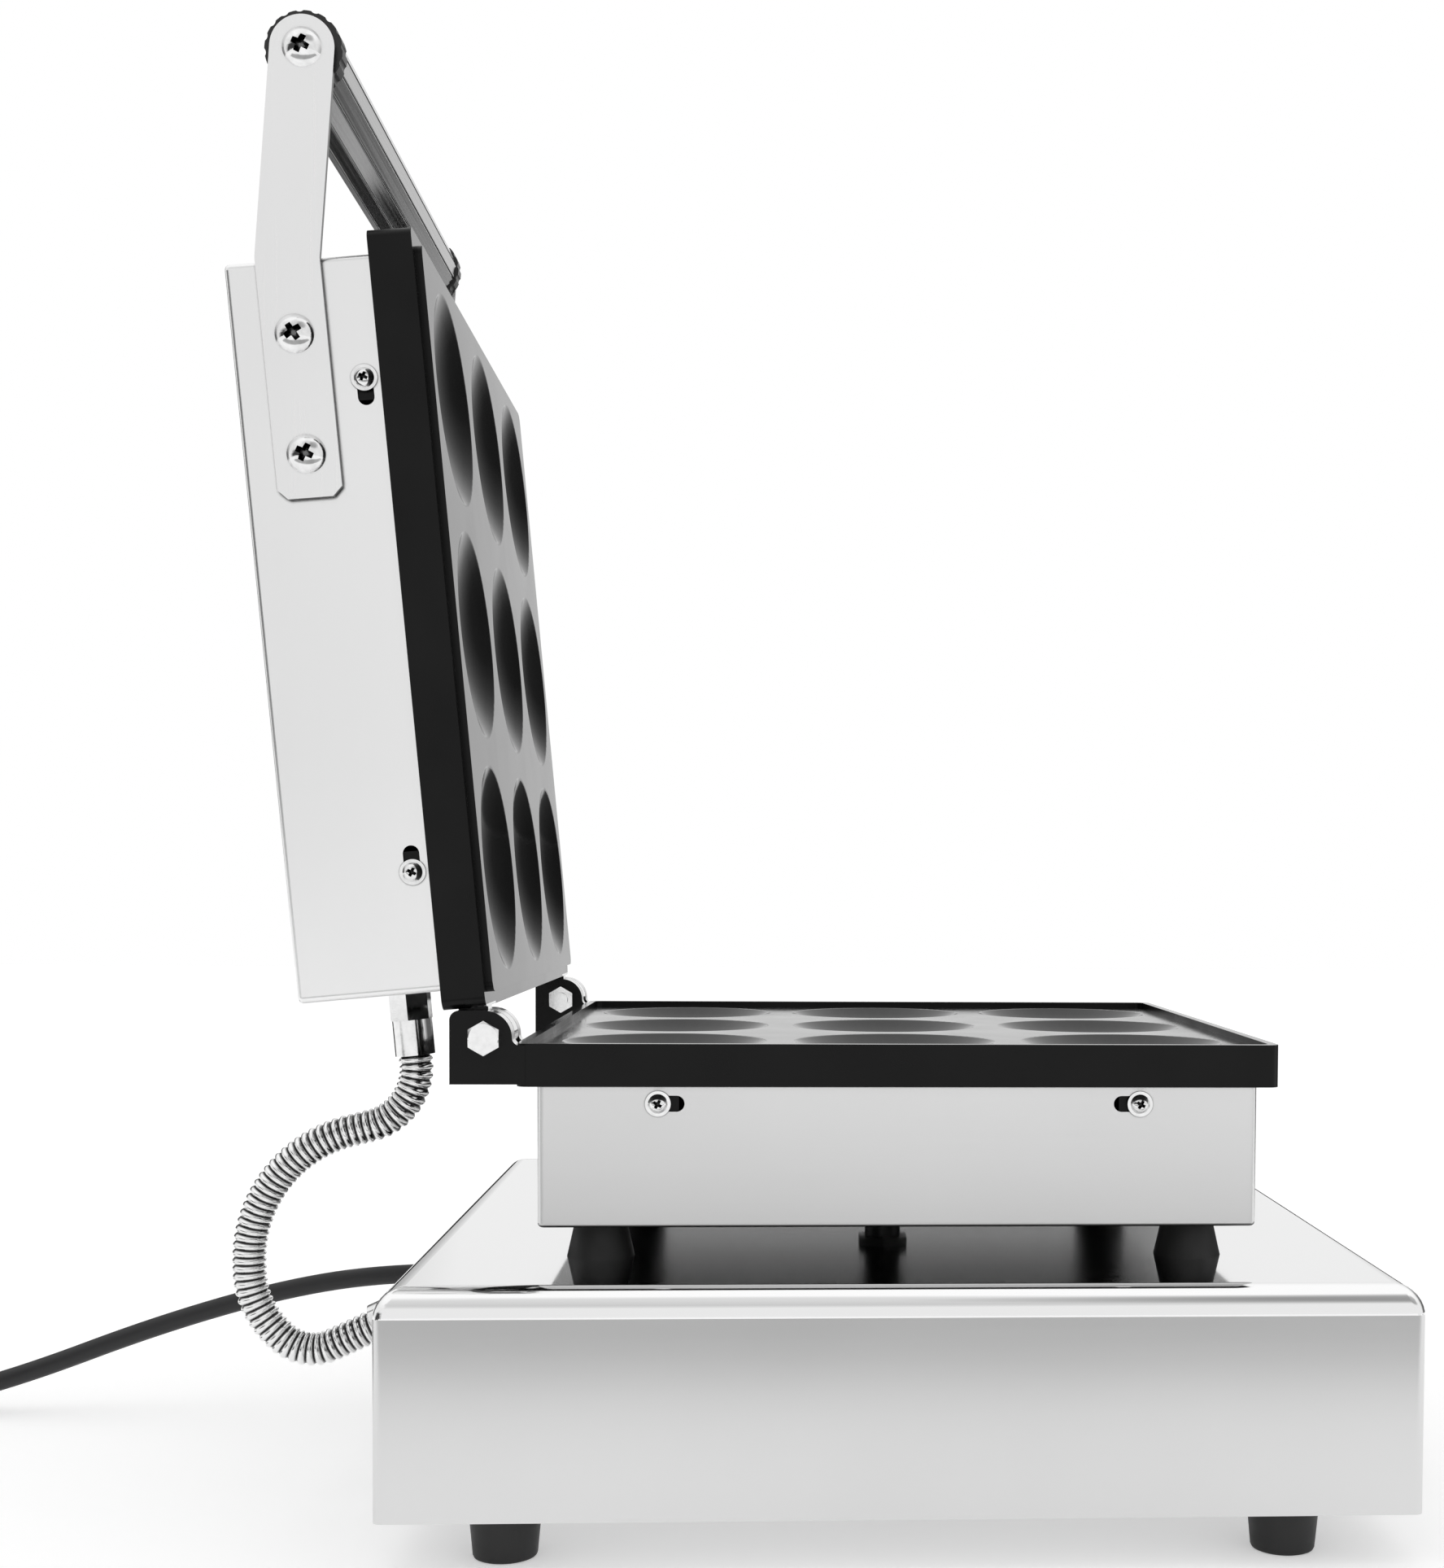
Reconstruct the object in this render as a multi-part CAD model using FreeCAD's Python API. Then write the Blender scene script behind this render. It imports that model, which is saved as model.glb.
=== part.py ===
import FreeCAD, Part
import math
import os

# A plate baker with a lid on two hinge bolts. Millimetres, +Z up, front to -Y, the lid's hinge to +Y.

V = FreeCAD.Vector
X = V(1, 0, 0)
Y = V(0, 1, 0)
Z = V(0, 0, 1)

# Base
base_w = 416.0
base_l = 436.0
base_h = 96.0
base_sheet = 1.5
base_bend_r = 12.0
base_corner_r = 4.0
base_lip_w = 32.0
base_seam = 0.4
foot_h = 21.0
foot_top_r = 15.5
foot_bottom_r = 13.5
foot_inset_x = 25.0
foot_inset_rear = 51.0
foot_inset_front = 54.0
foot_recess_r = 7.0
foot_recess_h = 9.0
foot_head_gap = 1.5
vent_count = 7
vent_l = 60.0
vent_w = 5.0
vent_pitch = 16.0

# Baking units
plate_w = 330.0
plate_h = 18.5
plate_corner_r = 5.0
rim_w = 4.0
recess_d = 3.0
recess_corner_r = 4.0
pad_inset = 6.0
pad_h = 3.0
mould_d = 92.0
mould_depth = 11.0
mould_lip_r = 3.0
mould_margin = 14.0
housing_inset = 8.0
housing_h = 62.0
housing_sheet = 1.2
housing_corner_r = 3.0
housing_bend_r = 2.0
plate_seam = 0.4
leg_h = 17.0
leg_top_r = 11.2
leg_bottom_r = 15.0
leg_inset_x = 29.0
leg_inset_y = 25.0
boss_w = 18.0
boss_t = 12.0
boss_h = 17.0
side_screw_inset = 52.0
side_screw_drop = 8.0
side_slot_w = 7.0
side_slot_reach = 8.0
element_r = 4.0
element_inset_x = 42.0
element_inset_y = 47.0
element_bend_r = 30.0
element_tail = 24.0
element_tail_x = 22.0
element_tail_r = 12.0
element_gap = 0.1
clamp_w = 14.0
clamp_t = 2.0
clamp_y = 52.5
clamp_post_r = 7.0
clamp_post_inset = 23.0
wool_gap = 9.8
wool_h = 26.0
wool_hole_r = 22.0
wool_leg_hole_r = 12.0
bulb_r = 3.0
bulb_l = 90.0

# Lid hinge
lid_lean = 5.4
hinge_back = 13.0
hinge_rise = 2.5
closed_gap = 0.8
ear_r = 11.5
ear_rear = 15.0
ear_drop = 20.0
ear_corner_r = 4.0
ear_outer_t = 9.5
ear_lid_t = 11.0
ear_inner_t = 8.0
ear_side_gap = 0.6
ear_root = 4.0
ear_foot_drop = 0.8
ear_face_gap = 0.5

# Handle, measured up the lid from its housing's top and out of the mould face
arm_w = 27.0
arm_t = 3.0
arm_reach_down = 101.0
arm_bend_drop = 0.5
arm_n = -51.5
arm_chamfer = 4.0
arm_screw_drops = (82.6, 32.2)
grip_rise = 86.0
grip_n = -36.7
grip_r = 15.3
grip_bore_r = 11.0
grip_sides = 12
grip_groove_r = 0.8
cap_r = 16.3
cap_flange = 9.0
cap_spigot = 12.0
cap_scallops = 16
cap_scallop_r = 2.6
cap_scallop_out = 2.0

# Wire conduit, its hose and the hose's ends
conduit_r = 9.0
conduit_bore_r = 7.0
conduit_reach = 12.0
locknut_af = 24.0
locknut_h = 4.0
hose_inset = 47.0
hose_crest_r = 7.5
hose_valley_r = 6.3
hose_bore_r = 5.2
hose_rib_pitch = 3.4
gland_n = -40.0
gland_af = 17.0
gland_l = 13.0
gland_neck_l = 8.0
ferrule_r = 8.8
ferrule_l = 16.0
elbow_z = 88.0
elbow_r = 9.6
elbow_hex_af = 22.0
elbow_hex_l = 5.0
elbow_inside = 12.0
elbow_stand = 6.0
elbow_lip = 2.0
elbow_seat_l = 11.0
elbow_nut_af = 26.0

# Hose bends: the first below the ferrule, the others out from the base's rear wall and above its fitting
hose_first_drop = 42.5
hose_first_r = 27.0
hose_bends = ((73.9, 71.3, 60.0), (73.4, 0.5, 42.0), (48.2, -20.1, 20.5))
hose_end_out = 15.0
hose_end_up = -4.8
hose_entry = 8.0

# Controls
panel_w = 196.0
panel_h = 70.0
panel_t = 1.0
panel_z = 69.0
panel_screw_inset = 7.0
panel_screw_l = 8.0
thermostat_x = 58.0
timer_x = -58.0
control_body = 40.0
control_body_l = 28.0
control_back_t = 6.0
control_bush_r = 4.8
shaft_r = 3.0
shaft_stand = 15.0
knob_r = 20.0
knob_h = 18.0
knob_taper = 3.0
knob_gap = 1.0
knob_wing_w = 8.0
knob_wing_h = 4.0
knob_wing_inset = 4.0
lamp_r = 5.0
lamp_flange_r = 7.5
lamp_flange_t = 1.5
lamp_rise = 24.0
lamp_x = 12.0
lamp_l = 22.0
switch_w = 19.0
switch_h = 28.0
switch_flange = 2.5
switch_flange_t = 2.0
switch_l = 26.0
switch_drop = 6.0
switch_well_d = 9.0
rocker_w = 13.0
rocker_h = 21.0
rocker_stand = 4.0
rocker_back = 3.0
rocker_back_inset = 2.0
rocker_depth = 1.0
rocker_tilt = 7.0
rocker_gap = 0.8
rocker_pin_r = 1.4
rocker_pin_l = 1.8
terminal_w = 62.0
terminal_l = 24.0
terminal_h = 20.0
terminal_y = 120.0
terminal_ways = 5
terminal_pitch = 11.5
terminal_well_r = 3.2
terminal_well_d = 8.0
terminal_well_inset = 6.0

# Mains cord: its route is out from the base's rear wall and up from the worktop
cord_d = 10.0
cord_x = 60.0
cord_gland_af = 22.0
cord_gland_neck_r = 9.0
cord_gland_cone_r = 10.5
cord_gland_tip_t = 2.0
cord_gland_inside = 14.0
cord_gland_hex_l = 6.0
cord_gland_l = 26.0
cord_nut_af = 24.0
cord_route = ((4.0, 74.0), (44.0, 74.0), (100.0, 65.5), (167.0, 46.0),
              (237.0, 19.5), (290.0, 5.3), (342.0, 5.3))
cord_bend_share = 0.45
coil_mid_r = 55.0
coil_gap = 0.7
coil_quarters = 7
coil_tail = 52.0
plug_w = 27.0
plug_h = 29.0
plug_l = 34.0
plug_corner_r = 4.0
plug_seam = 0.1
blade_w = 1.5
blade_h = 6.35
blade_l = 17.0
blade_apart = 12.7
earth_pin_r = 2.4
earth_pin_drop = 8.6
earth_pin_l = 20.0

# Screws and clearances
m4_r = 2.0
m5_r = 2.5
m6_r = 3.0
m8_r = 4.0
m8_af = 13.0
m8_head_h = 5.3
m8_nut_h = 6.5
m6_af = 10.0
m6_head_h = 4.0
m6_nut_h = 5.0
m5_af = 8.0
m5_nut_h = 4.0
m4_head_r = 4.25
m4_head_h = 2.8
m5_head_h = 3.5
m8_pan_r = 8.3
m8_pan_h = 4.6
head_edge = 0.3
head_slope = 1.7
cross_reach = 0.52
cross_width = 0.17
cross_depth = 0.7
cross_taper = 0.55
cross_turn = 30.0
thread_short = 2.0
bolt_end = 2.0
washer_r = 5.55
washer_t = 0.8
hole_gap = 0.25
run_gap = 0.05
slide_gap = 0.3
cut_reach = 5.0
overlap = 1.0

# Sizes that follow
base_z = foot_h
deck_z = base_z + base_h
unit_z = deck_z + leg_h
seat_z = unit_z + housing_h
rim_z = seat_z + plate_h
housing_w = plate_w - 2 * housing_inset
housing_half = housing_w / 2
hose_x = hose_inset - housing_half
mould_pitch = plate_w / 2 - mould_d / 2 - mould_margin
pivot_y = plate_w / 2 + hinge_back
pivot_z = rim_z + hinge_rise
lid_centre_u = pivot_y
lid_face_n = hinge_rise - closed_gap
housing_top_u = lid_centre_u + housing_half
housing_end_u = lid_centre_u - housing_half
arm_end_u = housing_top_u - arm_reach_down
arm_bend_u = housing_top_u - arm_bend_drop
arm_screw_u = [housing_top_u - drop for drop in arm_screw_drops]
grip_u = housing_top_u + grip_rise
front_y = -base_l / 2
rear_y = base_l / 2
panel_front = front_y - panel_t
lip_z = base_z + base_sheet

nodes = {}


def box(x0, x1, y0, y1, z0, z1):
    return Part.makeBox(x1 - x0, y1 - y0, z1 - z0, V(x0, y0, z0))


def slab(w, l, z0, z1, corner_r=0.0):
    body = box(-w / 2, w / 2, -l / 2, l / 2, z0, z1)
    if corner_r:
        upright = [e for e in body.Edges if abs(e.BoundBox.ZLength - (z1 - z0)) < 1e-6]
        body = body.makeFillet(corner_r, upright)
    return body


def rod(r, start, axis, length):
    return Part.makeCylinder(r, length, start, axis)


def ring(r, bore_r, start, axis, length):
    return rod(r, start, axis, length).cut(rod(bore_r, start, axis, length))


def turned(shape, axis):
    """A shape made along +Z, turned so that +Z lies along axis."""
    out = shape.copy()
    out.Placement = FreeCAD.Placement(V(0, 0, 0), FreeCAD.Rotation(Z, axis))
    return out


def moved(shape, offset):
    out = shape.copy()
    out.translate(offset)
    return out


def corners(sides, r):
    angles = [2 * math.pi * i / sides for i in range(sides)]
    return [V(math.cos(a) * r, math.sin(a) * r, 0) for a in angles]


def prism(sides, r, length):
    points = corners(sides, r)
    return Part.Face(Part.makePolygon(points + points[:1])).extrude(Z * length)


def hexagon(af, start, axis, length):
    """Hexagon bar whose flats, on a level axis, are above and below or to the two sides."""
    bar = prism(6, af / math.sqrt(3), length)
    bar.rotate(V(0, 0, 0), Z, 30)
    return moved(turned(bar, axis), start)


def hex_bolt(r, af, head_h, length, seat, axis):
    """Head with its corners turned off, outside the seat plane, and a shank along axis."""
    head_at = seat - axis * head_h
    face_r = af / 2 - head_edge
    turned_off = Part.makeCone(face_r, face_r + head_h * head_slope, head_h, head_at, axis)
    head = hexagon(af, head_at, axis, head_h).common(turned_off)
    return head.fuse(rod(r, seat, axis, length)).removeSplitter()


def hex_nut(r, af, height, seat, axis):
    return hexagon(af, seat, axis, height).cut(rod(r, seat, axis, height))


def taper_slot(half_x, half_y, z0, z1):
    """A slot that narrows from z0 to z1."""
    ends = []
    for z, share in ((z0, 1.0), (z1, cross_taper)):
        hx, hy = half_x * share, half_y * share
        points = [V(-hx, -hy, z), V(hx, -hy, z), V(hx, hy, z), V(-hx, hy, z)]
        ends.append(Part.makePolygon(points + points[:1]))
    return Part.makeLoft(ends, True, True)


def pan_screw(r, head_r, head_h, length, seat, axis, turn=cross_turn):
    """Domed head with a cross recess, outside the seat plane, shank along axis."""
    dome_r = (head_r ** 2 + head_h ** 2) / (2 * head_h)
    dome = Part.makeSphere(dome_r, V(0, 0, dome_r - head_h))
    head = dome.common(rod(head_r, V(0, 0, -head_h), Z, head_h))
    arm = head_r * cross_reach
    slot = head_r * cross_width
    floor_z = -head_h * (1 - cross_depth)
    cross = taper_slot(arm, slot, -head_h, floor_z).fuse(taper_slot(slot, arm, -head_h, floor_z))
    cross.rotate(V(0, 0, 0), Z, turn)
    screw = head.cut(cross).fuse(rod(r, V(0, 0, 0), Z, length)).removeSplitter()
    return moved(turned(screw, axis), seat)


def group(shapes):
    return Part.makeCompound(shapes)


def in_lid(shape):
    """From the lid's flat frame (pivot at the origin, lid along +Y, moulds up) to its open rest place."""
    out = shape.copy()
    out.rotate(V(0, 0, 0), X, 90 - lid_lean)
    out.translate(V(0, pivot_y, pivot_z))
    return out


def lid_point(u, n):
    a = math.radians(lid_lean)
    return V(0, pivot_y + u * math.sin(a) - n * math.cos(a), pivot_z + u * math.cos(a) + n * math.sin(a))


def rounded_path(points, radii):
    """Straight runs joined by tangent arcs: a list of edges."""
    edges = []
    start = points[0]
    for i, r in enumerate(radii, 1):
        before = (points[i - 1] - points[i]).normalize()
        after = (points[i + 1] - points[i]).normalize()
        half = before.getAngle(after) / 2
        reach = r / math.tan(half)
        a = points[i] + before * reach
        b = points[i] + after * reach
        mid = points[i] + (before + after).normalize() * (r / math.sin(half) - r)
        if start.distanceToPoint(a) > 1e-6:
            edges.append(Part.makeLine(start, a))
        edges.append(Part.Arc(a, mid, b).toShape())
        start = b
    edges.append(Part.makeLine(start, points[-1]))
    return edges


def tube(edges, r):
    start = edges[0].valueAt(edges[0].FirstParameter)
    along = edges[0].tangentAt(edges[0].FirstParameter)
    section = Part.Wire(Part.makeCircle(r, start, along))
    return Part.Wire(edges).makePipeShell([section], True, False)


# Base shell: five-sided box with rounded top edges, an inward lip below and holes for what it carries
def bent_box(w, l, z0, z1, corner_r, bend_r, bend_z):
    """A box with round upright edges, and round edges where it meets the plane at bend_z."""
    body = slab(w, l, z0, z1, corner_r)
    loop = [e for e in body.Edges if e.BoundBox.ZLength < 1e-6 and abs(e.BoundBox.ZMin - bend_z) < 1e-6]
    return body.makeFillet(bend_r, loop)


def hole_along_z(r, place, z):
    return rod(r + hole_gap, V(place.x, place.y, z - cut_reach), Z, 2 * cut_reach)


def hole_along_y(r, x, y, z):
    return rod(r + hole_gap, V(x, y - cut_reach, z), Y, 2 * cut_reach)


inner_w = base_w - 2 * base_sheet
inner_l = base_l - 2 * base_sheet
inner_corner_r = base_corner_r - base_sheet
shell = bent_box(base_w, base_l, base_z, deck_z, base_corner_r, base_bend_r, deck_z)
cave_top = deck_z - base_sheet
cave_bend_r = base_bend_r - base_sheet
cave = bent_box(inner_w, inner_l, lip_z + base_sheet, cave_top, inner_corner_r, cave_bend_r, cave_top)
below = slab(inner_w, inner_l, base_z, lip_z, inner_corner_r)
lip_hole = slab(inner_w - 2 * base_lip_w, inner_l - 2 * base_lip_w, lip_z, lip_z + base_sheet)
leg_x = housing_half - leg_inset_x
leg_y = housing_half - leg_inset_y
leg_places = [V(sx * leg_x, sy * leg_y, 0) for sx in (-1, 1) for sy in (-1, 1)]
foot_x = base_w / 2 - foot_inset_x
foot_ys = (front_y + foot_inset_front, rear_y - foot_inset_rear)
foot_places = [V(sx * foot_x, fy, 0) for sx in (-1, 1) for fy in foot_ys]
switch_z = panel_z - switch_drop
lamp_places = [V(sx * lamp_x, 0, panel_z + lamp_rise) for sx in (-1, 1)]
panel_screw_x = panel_w / 2 - panel_screw_inset
panel_screw_up = panel_h / 2 - panel_screw_inset
panel_screw_places = [V(sx * panel_screw_x, 0, panel_z + sz * panel_screw_up)
                      for sx in (-1, 1) for sz in (-1, 1)]
front_holes = [hole_along_y(control_bush_r, cx, front_y, panel_z) for cx in (thermostat_x, timer_x)]
front_holes += [hole_along_y(lamp_r, p.x, front_y, p.z) for p in lamp_places]
front_holes += [hole_along_y(m4_r, p.x, front_y, p.z) for p in panel_screw_places]
switch_hole_w = switch_w / 2 + hole_gap
switch_hole_h = switch_h / 2 + hole_gap
front_holes.append(box(-switch_hole_w, switch_hole_w, front_y - cut_reach, front_y + cut_reach,
                       switch_z - switch_hole_h, switch_z + switch_hole_h))
cord_z = cord_route[0][1]
cuts = [cave, below, lip_hole] + front_holes
cuts += [hole_along_z(m6_r, p, deck_z) for p in leg_places]
cuts += [hole_along_z(m5_r, p, lip_z) for p in foot_places]
cuts.append(hole_along_z(conduit_r, V(0, 0, 0), deck_z))
cuts.append(hole_along_y(elbow_r, hose_x, rear_y, elbow_z))
cuts.append(hole_along_y(cord_gland_neck_r, cord_x, rear_y, cord_z))
nodes["base_shell"] = shell.cut(cuts)

# Bottom plate under the lip, with vent slots
bottom = slab(inner_w - 2 * base_seam, inner_l - 2 * base_seam, base_z, lip_z)
vents = []
for i in range(vent_count):
    vx = (i - (vent_count - 1) / 2) * vent_pitch
    vents.append(box(vx - vent_w / 2, vx + vent_w / 2, -vent_l / 2, vent_l / 2, base_z, lip_z))
vents += [hole_along_z(m5_r, p, base_z) for p in foot_places]
nodes["base_bottom_plate"] = bottom.cut(vents)

# Rubber feet with a screw up the middle, a nut above the lip
feet = []
for p in foot_places:
    foot = Part.makeCone(foot_bottom_r, foot_top_r, foot_h, p)
    foot = foot.cut(rod(foot_recess_r, p, Z, foot_recess_h))
    feet.append(foot.cut(rod(m5_r + hole_gap, p, Z, foot_h)))
nodes["base_feet"] = group(feet)
foot_nut_z = lip_z + base_sheet
foot_screw_l = foot_nut_z + m5_nut_h - foot_recess_h
foot_head_r = foot_recess_r - foot_head_gap
nodes["foot_screws"] = group([pan_screw(m5_r, foot_head_r, m5_head_h, foot_screw_l, p + Z * foot_recess_h, Z)
                              for p in foot_places])
nodes["foot_nuts"] = group([hex_nut(m5_r, m5_af, m5_nut_h, p + Z * foot_nut_z, Z) for p in foot_places])

# Cone legs between the base and the lower unit, each with a bolt from below and a nut inside the housing
legs = []
for p in leg_places:
    leg = Part.makeCone(leg_bottom_r, leg_top_r, leg_h, p + Z * deck_z)
    legs.append(leg.cut(rod(m6_r + hole_gap, p + Z * deck_z, Z, leg_h)))
nodes["unit_legs"] = group(legs)
leg_seat_z = deck_z - base_sheet
leg_bolt_l = base_sheet + leg_h + housing_sheet + m6_nut_h
nodes["leg_bolts"] = group([hex_bolt(m6_r, m6_af, m6_head_h, leg_bolt_l, p + Z * leg_seat_z, Z)
                            for p in leg_places])
nodes["leg_nuts"] = group([hex_nut(m6_r, m6_af, m6_nut_h, p + Z * (unit_z + housing_sheet), Z)
                           for p in leg_places])

# Threaded wire conduit with a locknut on each side of both sheets
conduit_z0 = leg_seat_z - conduit_reach
conduit_l = 2 * conduit_reach + base_sheet + leg_h + housing_sheet
nodes["wire_conduit"] = ring(conduit_r, conduit_bore_r, V(0, 0, conduit_z0), Z, conduit_l)
locknut_z = (leg_seat_z - locknut_h, deck_z, unit_z - locknut_h, unit_z + housing_sheet)
nodes["conduit_locknuts"] = group([hex_nut(conduit_r, locknut_af, locknut_h, Z * z, Z) for z in locknut_z])


# A baking unit in its own frame: centre of the plate at the origin, rim plane at z = 0, moulds up
def mould_cuts(face_z):
    """Dish cutters: a round bowl whose lip rolls over into the plate's face."""
    bowl_r = ((mould_d / 2) ** 2 + mould_depth ** 2) / (2 * mould_depth)
    bowl_up = bowl_r - mould_depth
    both_r = bowl_r + mould_lip_r
    lip_x = math.sqrt(both_r ** 2 - (bowl_up + mould_lip_r) ** 2)
    slope = math.asin(lip_x / both_r)
    bottom_point = V(0, 0, -mould_depth)
    bowl_mid = V(bowl_r * math.sin(slope / 2), 0, bowl_up - bowl_r * math.cos(slope / 2))
    meet = V(bowl_r * math.sin(slope), 0, bowl_up - bowl_r * math.cos(slope))
    lip_mid = V(lip_x - mould_lip_r * math.sin(slope / 2), 0, mould_lip_r * (math.cos(slope / 2) - 1))
    lip_end = V(lip_x, 0, 0)
    edges = [Part.Arc(bottom_point, bowl_mid, meet).toShape(), Part.Arc(meet, lip_mid, lip_end).toShape()]
    edges += Part.makePolygon([lip_end, lip_end + Z * cut_reach, Z * cut_reach, bottom_point]).Edges
    cutter = Part.Face(Part.Wire(edges)).revolve(V(0, 0, 0), Z, 360)
    spots = [V(ix * mould_pitch, iy * mould_pitch, face_z) for ix in (-1, 0, 1) for iy in (-1, 0, 1)]
    return [moved(cutter, spot) for spot in spots]


boss_x = housing_half - housing_sheet - plate_seam
side_screw_y = housing_half - side_screw_inset
side_screw_z = -plate_h - side_screw_drop
side_screws_at = [(sx, sy) for sx in (-1, 1) for sy in (-1, 1)]
clamp_post_x = housing_half - clamp_post_inset
clamp_posts = [V(sx * clamp_post_x, sy * clamp_y, -plate_h) for sx in (-1, 1) for sy in (-1, 1)]
post_h = 2 * (element_r + element_gap)


def mould_plate(sunk):
    body = slab(plate_w, plate_w, -plate_h, 0, plate_corner_r)
    if sunk:
        inside = plate_w - 2 * rim_w
        body = body.cut(slab(inside, inside, -recess_d, cut_reach, recess_corner_r))
        body = body.cut(mould_cuts(-recess_d))
    else:
        pad_w = plate_w - 2 * pad_inset
        body = body.fuse(slab(pad_w, pad_w, -overlap, pad_h, plate_corner_r)).removeSplitter()
        body = body.cut(mould_cuts(pad_h))
    extras = []
    holes = []
    for sx, sy in side_screws_at:
        x0, x1 = sorted((sx * boss_x, sx * (boss_x - boss_t)))
        yc = sy * side_screw_y
        extras.append(box(x0, x1, yc - boss_w / 2, yc + boss_w / 2, -plate_h - boss_h, -plate_h))
        holes.append(rod(m4_r, V(sx * boss_x, yc, side_screw_z), X * -sx, boss_t))
    for p in clamp_posts:
        extras.append(rod(clamp_post_r, p, Z * -1, post_h))
        holes.append(rod(m4_r, p - Z * (post_h + overlap), Z, post_h + overlap))
    return body.fuse(extras).cut(holes).removeSplitter()


def housing():
    """Five-sided sheet box, open towards the plate, with a slot for each side screw."""
    top = -plate_h
    low = top - housing_h
    inside = housing_w - 2 * housing_sheet
    inner_low = low + housing_sheet
    body = bent_box(housing_w, housing_w, low, top, housing_corner_r, housing_bend_r, low)
    body = body.cut(bent_box(inside, inside, inner_low, top, housing_corner_r - housing_sheet,
                             housing_bend_r - housing_sheet, inner_low))
    slots = []
    half = side_slot_w / 2
    for sx, sy in side_screws_at:
        x0, x1 = sorted((sx * (housing_half - cut_reach), sx * (housing_half + cut_reach)))
        ends = (sy * side_screw_y, sy * (side_screw_y - side_slot_reach))
        slots.append(box(x0, x1, min(ends), max(ends), side_screw_z - half, side_screw_z + half))
        for yc in ends:
            slots.append(rod(half, V(x0, yc, side_screw_z), X, x1 - x0))
    return body.cut(slots)


def side_washers():
    spots = [(sx, V(sx * housing_half, sy * side_screw_y, side_screw_z)) for sx, sy in side_screws_at]
    return group([ring(washer_r, m4_r + hole_gap, at, X * sx, washer_t) for sx, at in spots])


def side_screws():
    out = housing_half + washer_t
    length = washer_t + housing_sheet + plate_seam + boss_t - thread_short
    seats = [(sx, V(sx * out, sy * side_screw_y, side_screw_z)) for sx, sy in side_screws_at]
    return group([pan_screw(m4_r, m4_head_r, m4_head_h, length, seat, X * -sx) for sx, seat in seats])


# Tubular heater bent as one loop with both tails turned down, held up by two clamp bars
def heater():
    z = -plate_h - element_r - element_gap
    hx = housing_half - element_inset_x
    hy = housing_half - element_inset_y
    low = z - element_tail
    tx = element_tail_x
    route = [V(-tx, -hy, low), V(-tx, -hy, z), V(-hx, -hy, z), V(-hx, hy, z),
             V(hx, hy, z), V(hx, -hy, z), V(tx, -hy, z), V(tx, -hy, low)]
    return tube(rounded_path(route, (element_tail_r,) + (element_bend_r,) * 4 + (element_tail_r,)), element_r)


def clamps():
    half = clamp_post_x + clamp_post_r
    top = -plate_h - post_h
    out = []
    for sy in (-1, 1):
        yc = sy * clamp_y
        bar = box(-half, half, yc - clamp_w / 2, yc + clamp_w / 2, top - clamp_t, top)
        holes = [rod(m4_r + hole_gap, V(sx * clamp_post_x, yc, top - clamp_t), Z, clamp_t) for sx in (-1, 1)]
        out.append(bar.cut(holes))
    return group(out)


def clamp_screws():
    seat = -post_h - clamp_t
    return group([pan_screw(m4_r, m4_head_r, m4_head_h, clamp_t + post_h - thread_short, p + Z * seat, Z)
                  for p in clamp_posts])


def wool():
    low = -plate_h - housing_h + housing_sheet
    wool_w = housing_w - 2 * (housing_sheet + wool_gap)
    return slab(wool_w, wool_w, low, low + wool_h)


# Lower unit: fixed on its legs
to_lower = Z * rim_z


def lower_ear(x0, x1):
    """Hinge ear behind the plate, round towards the lid's sweep, with a concave foot at the rim."""
    r45 = math.sqrt(0.5)
    front = -hinge_back - ear_root
    foot_r = hinge_rise + ear_foot_drop
    rear_top = ear_r - ear_corner_r
    rear_in = ear_rear - ear_corner_r
    foot_y = -ear_r - foot_r
    p = [V(0, front, -ear_drop), V(0, ear_rear, -ear_drop), V(0, ear_rear, rear_top), V(0, rear_in, ear_r),
         V(0, 0, ear_r), V(0, -ear_r, 0), V(0, foot_y, -foot_r), V(0, front, -foot_r)]
    bend_mid = V(0, rear_in + ear_corner_r * r45, rear_top + ear_corner_r * r45)
    foot_mid = V(0, foot_y + foot_r * r45, -foot_r * r45)
    edges = [Part.makeLine(p[0], p[1]), Part.makeLine(p[1], p[2]), Part.Arc(p[2], bend_mid, p[3]).toShape(),
             Part.makeLine(p[3], p[4]), Part.Arc(p[4], V(0, -ear_r * r45, ear_r * r45), p[5]).toShape(),
             Part.Arc(p[5], foot_mid, p[6]).toShape(), Part.makeLine(p[6], p[7]), Part.makeLine(p[7], p[0])]
    face = Part.Face(Part.Wire(edges))
    return moved(face.extrude(X * (x1 - x0)), V(x0, pivot_y, pivot_z))


def both_sides(inner, outer):
    return ((-outer, -inner), (inner, outer))


ear_outer = plate_w / 2
ear_a = ear_outer - ear_outer_t
ear_b = ear_a - ear_side_gap
ear_c = ear_b - ear_lid_t
ear_d = ear_c - ear_side_gap
ear_e = ear_d - ear_inner_t
lower_ears = [lower_ear(*span) for span in both_sides(ear_a, ear_outer) + both_sides(ear_e, ear_d)]
pivot = V(0, pivot_y, pivot_z)
pivot_bore = rod(m8_r + run_gap, pivot - X * plate_w, X, 2 * plate_w)
lower_plate = moved(mould_plate(True), to_lower)
nodes["lower_mould_plate"] = lower_plate.fuse(lower_ears).cut(pivot_bore).removeSplitter()
unit_holes = [hole_along_z(m6_r, p, unit_z) for p in leg_places]
unit_holes.append(hole_along_z(conduit_r, V(0, 0, 0), unit_z))
nodes["lower_housing"] = moved(housing(), to_lower).cut(unit_holes)
nodes["lower_housing_washers"] = moved(side_washers(), to_lower)
nodes["lower_housing_screws"] = moved(side_screws(), to_lower)
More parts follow.
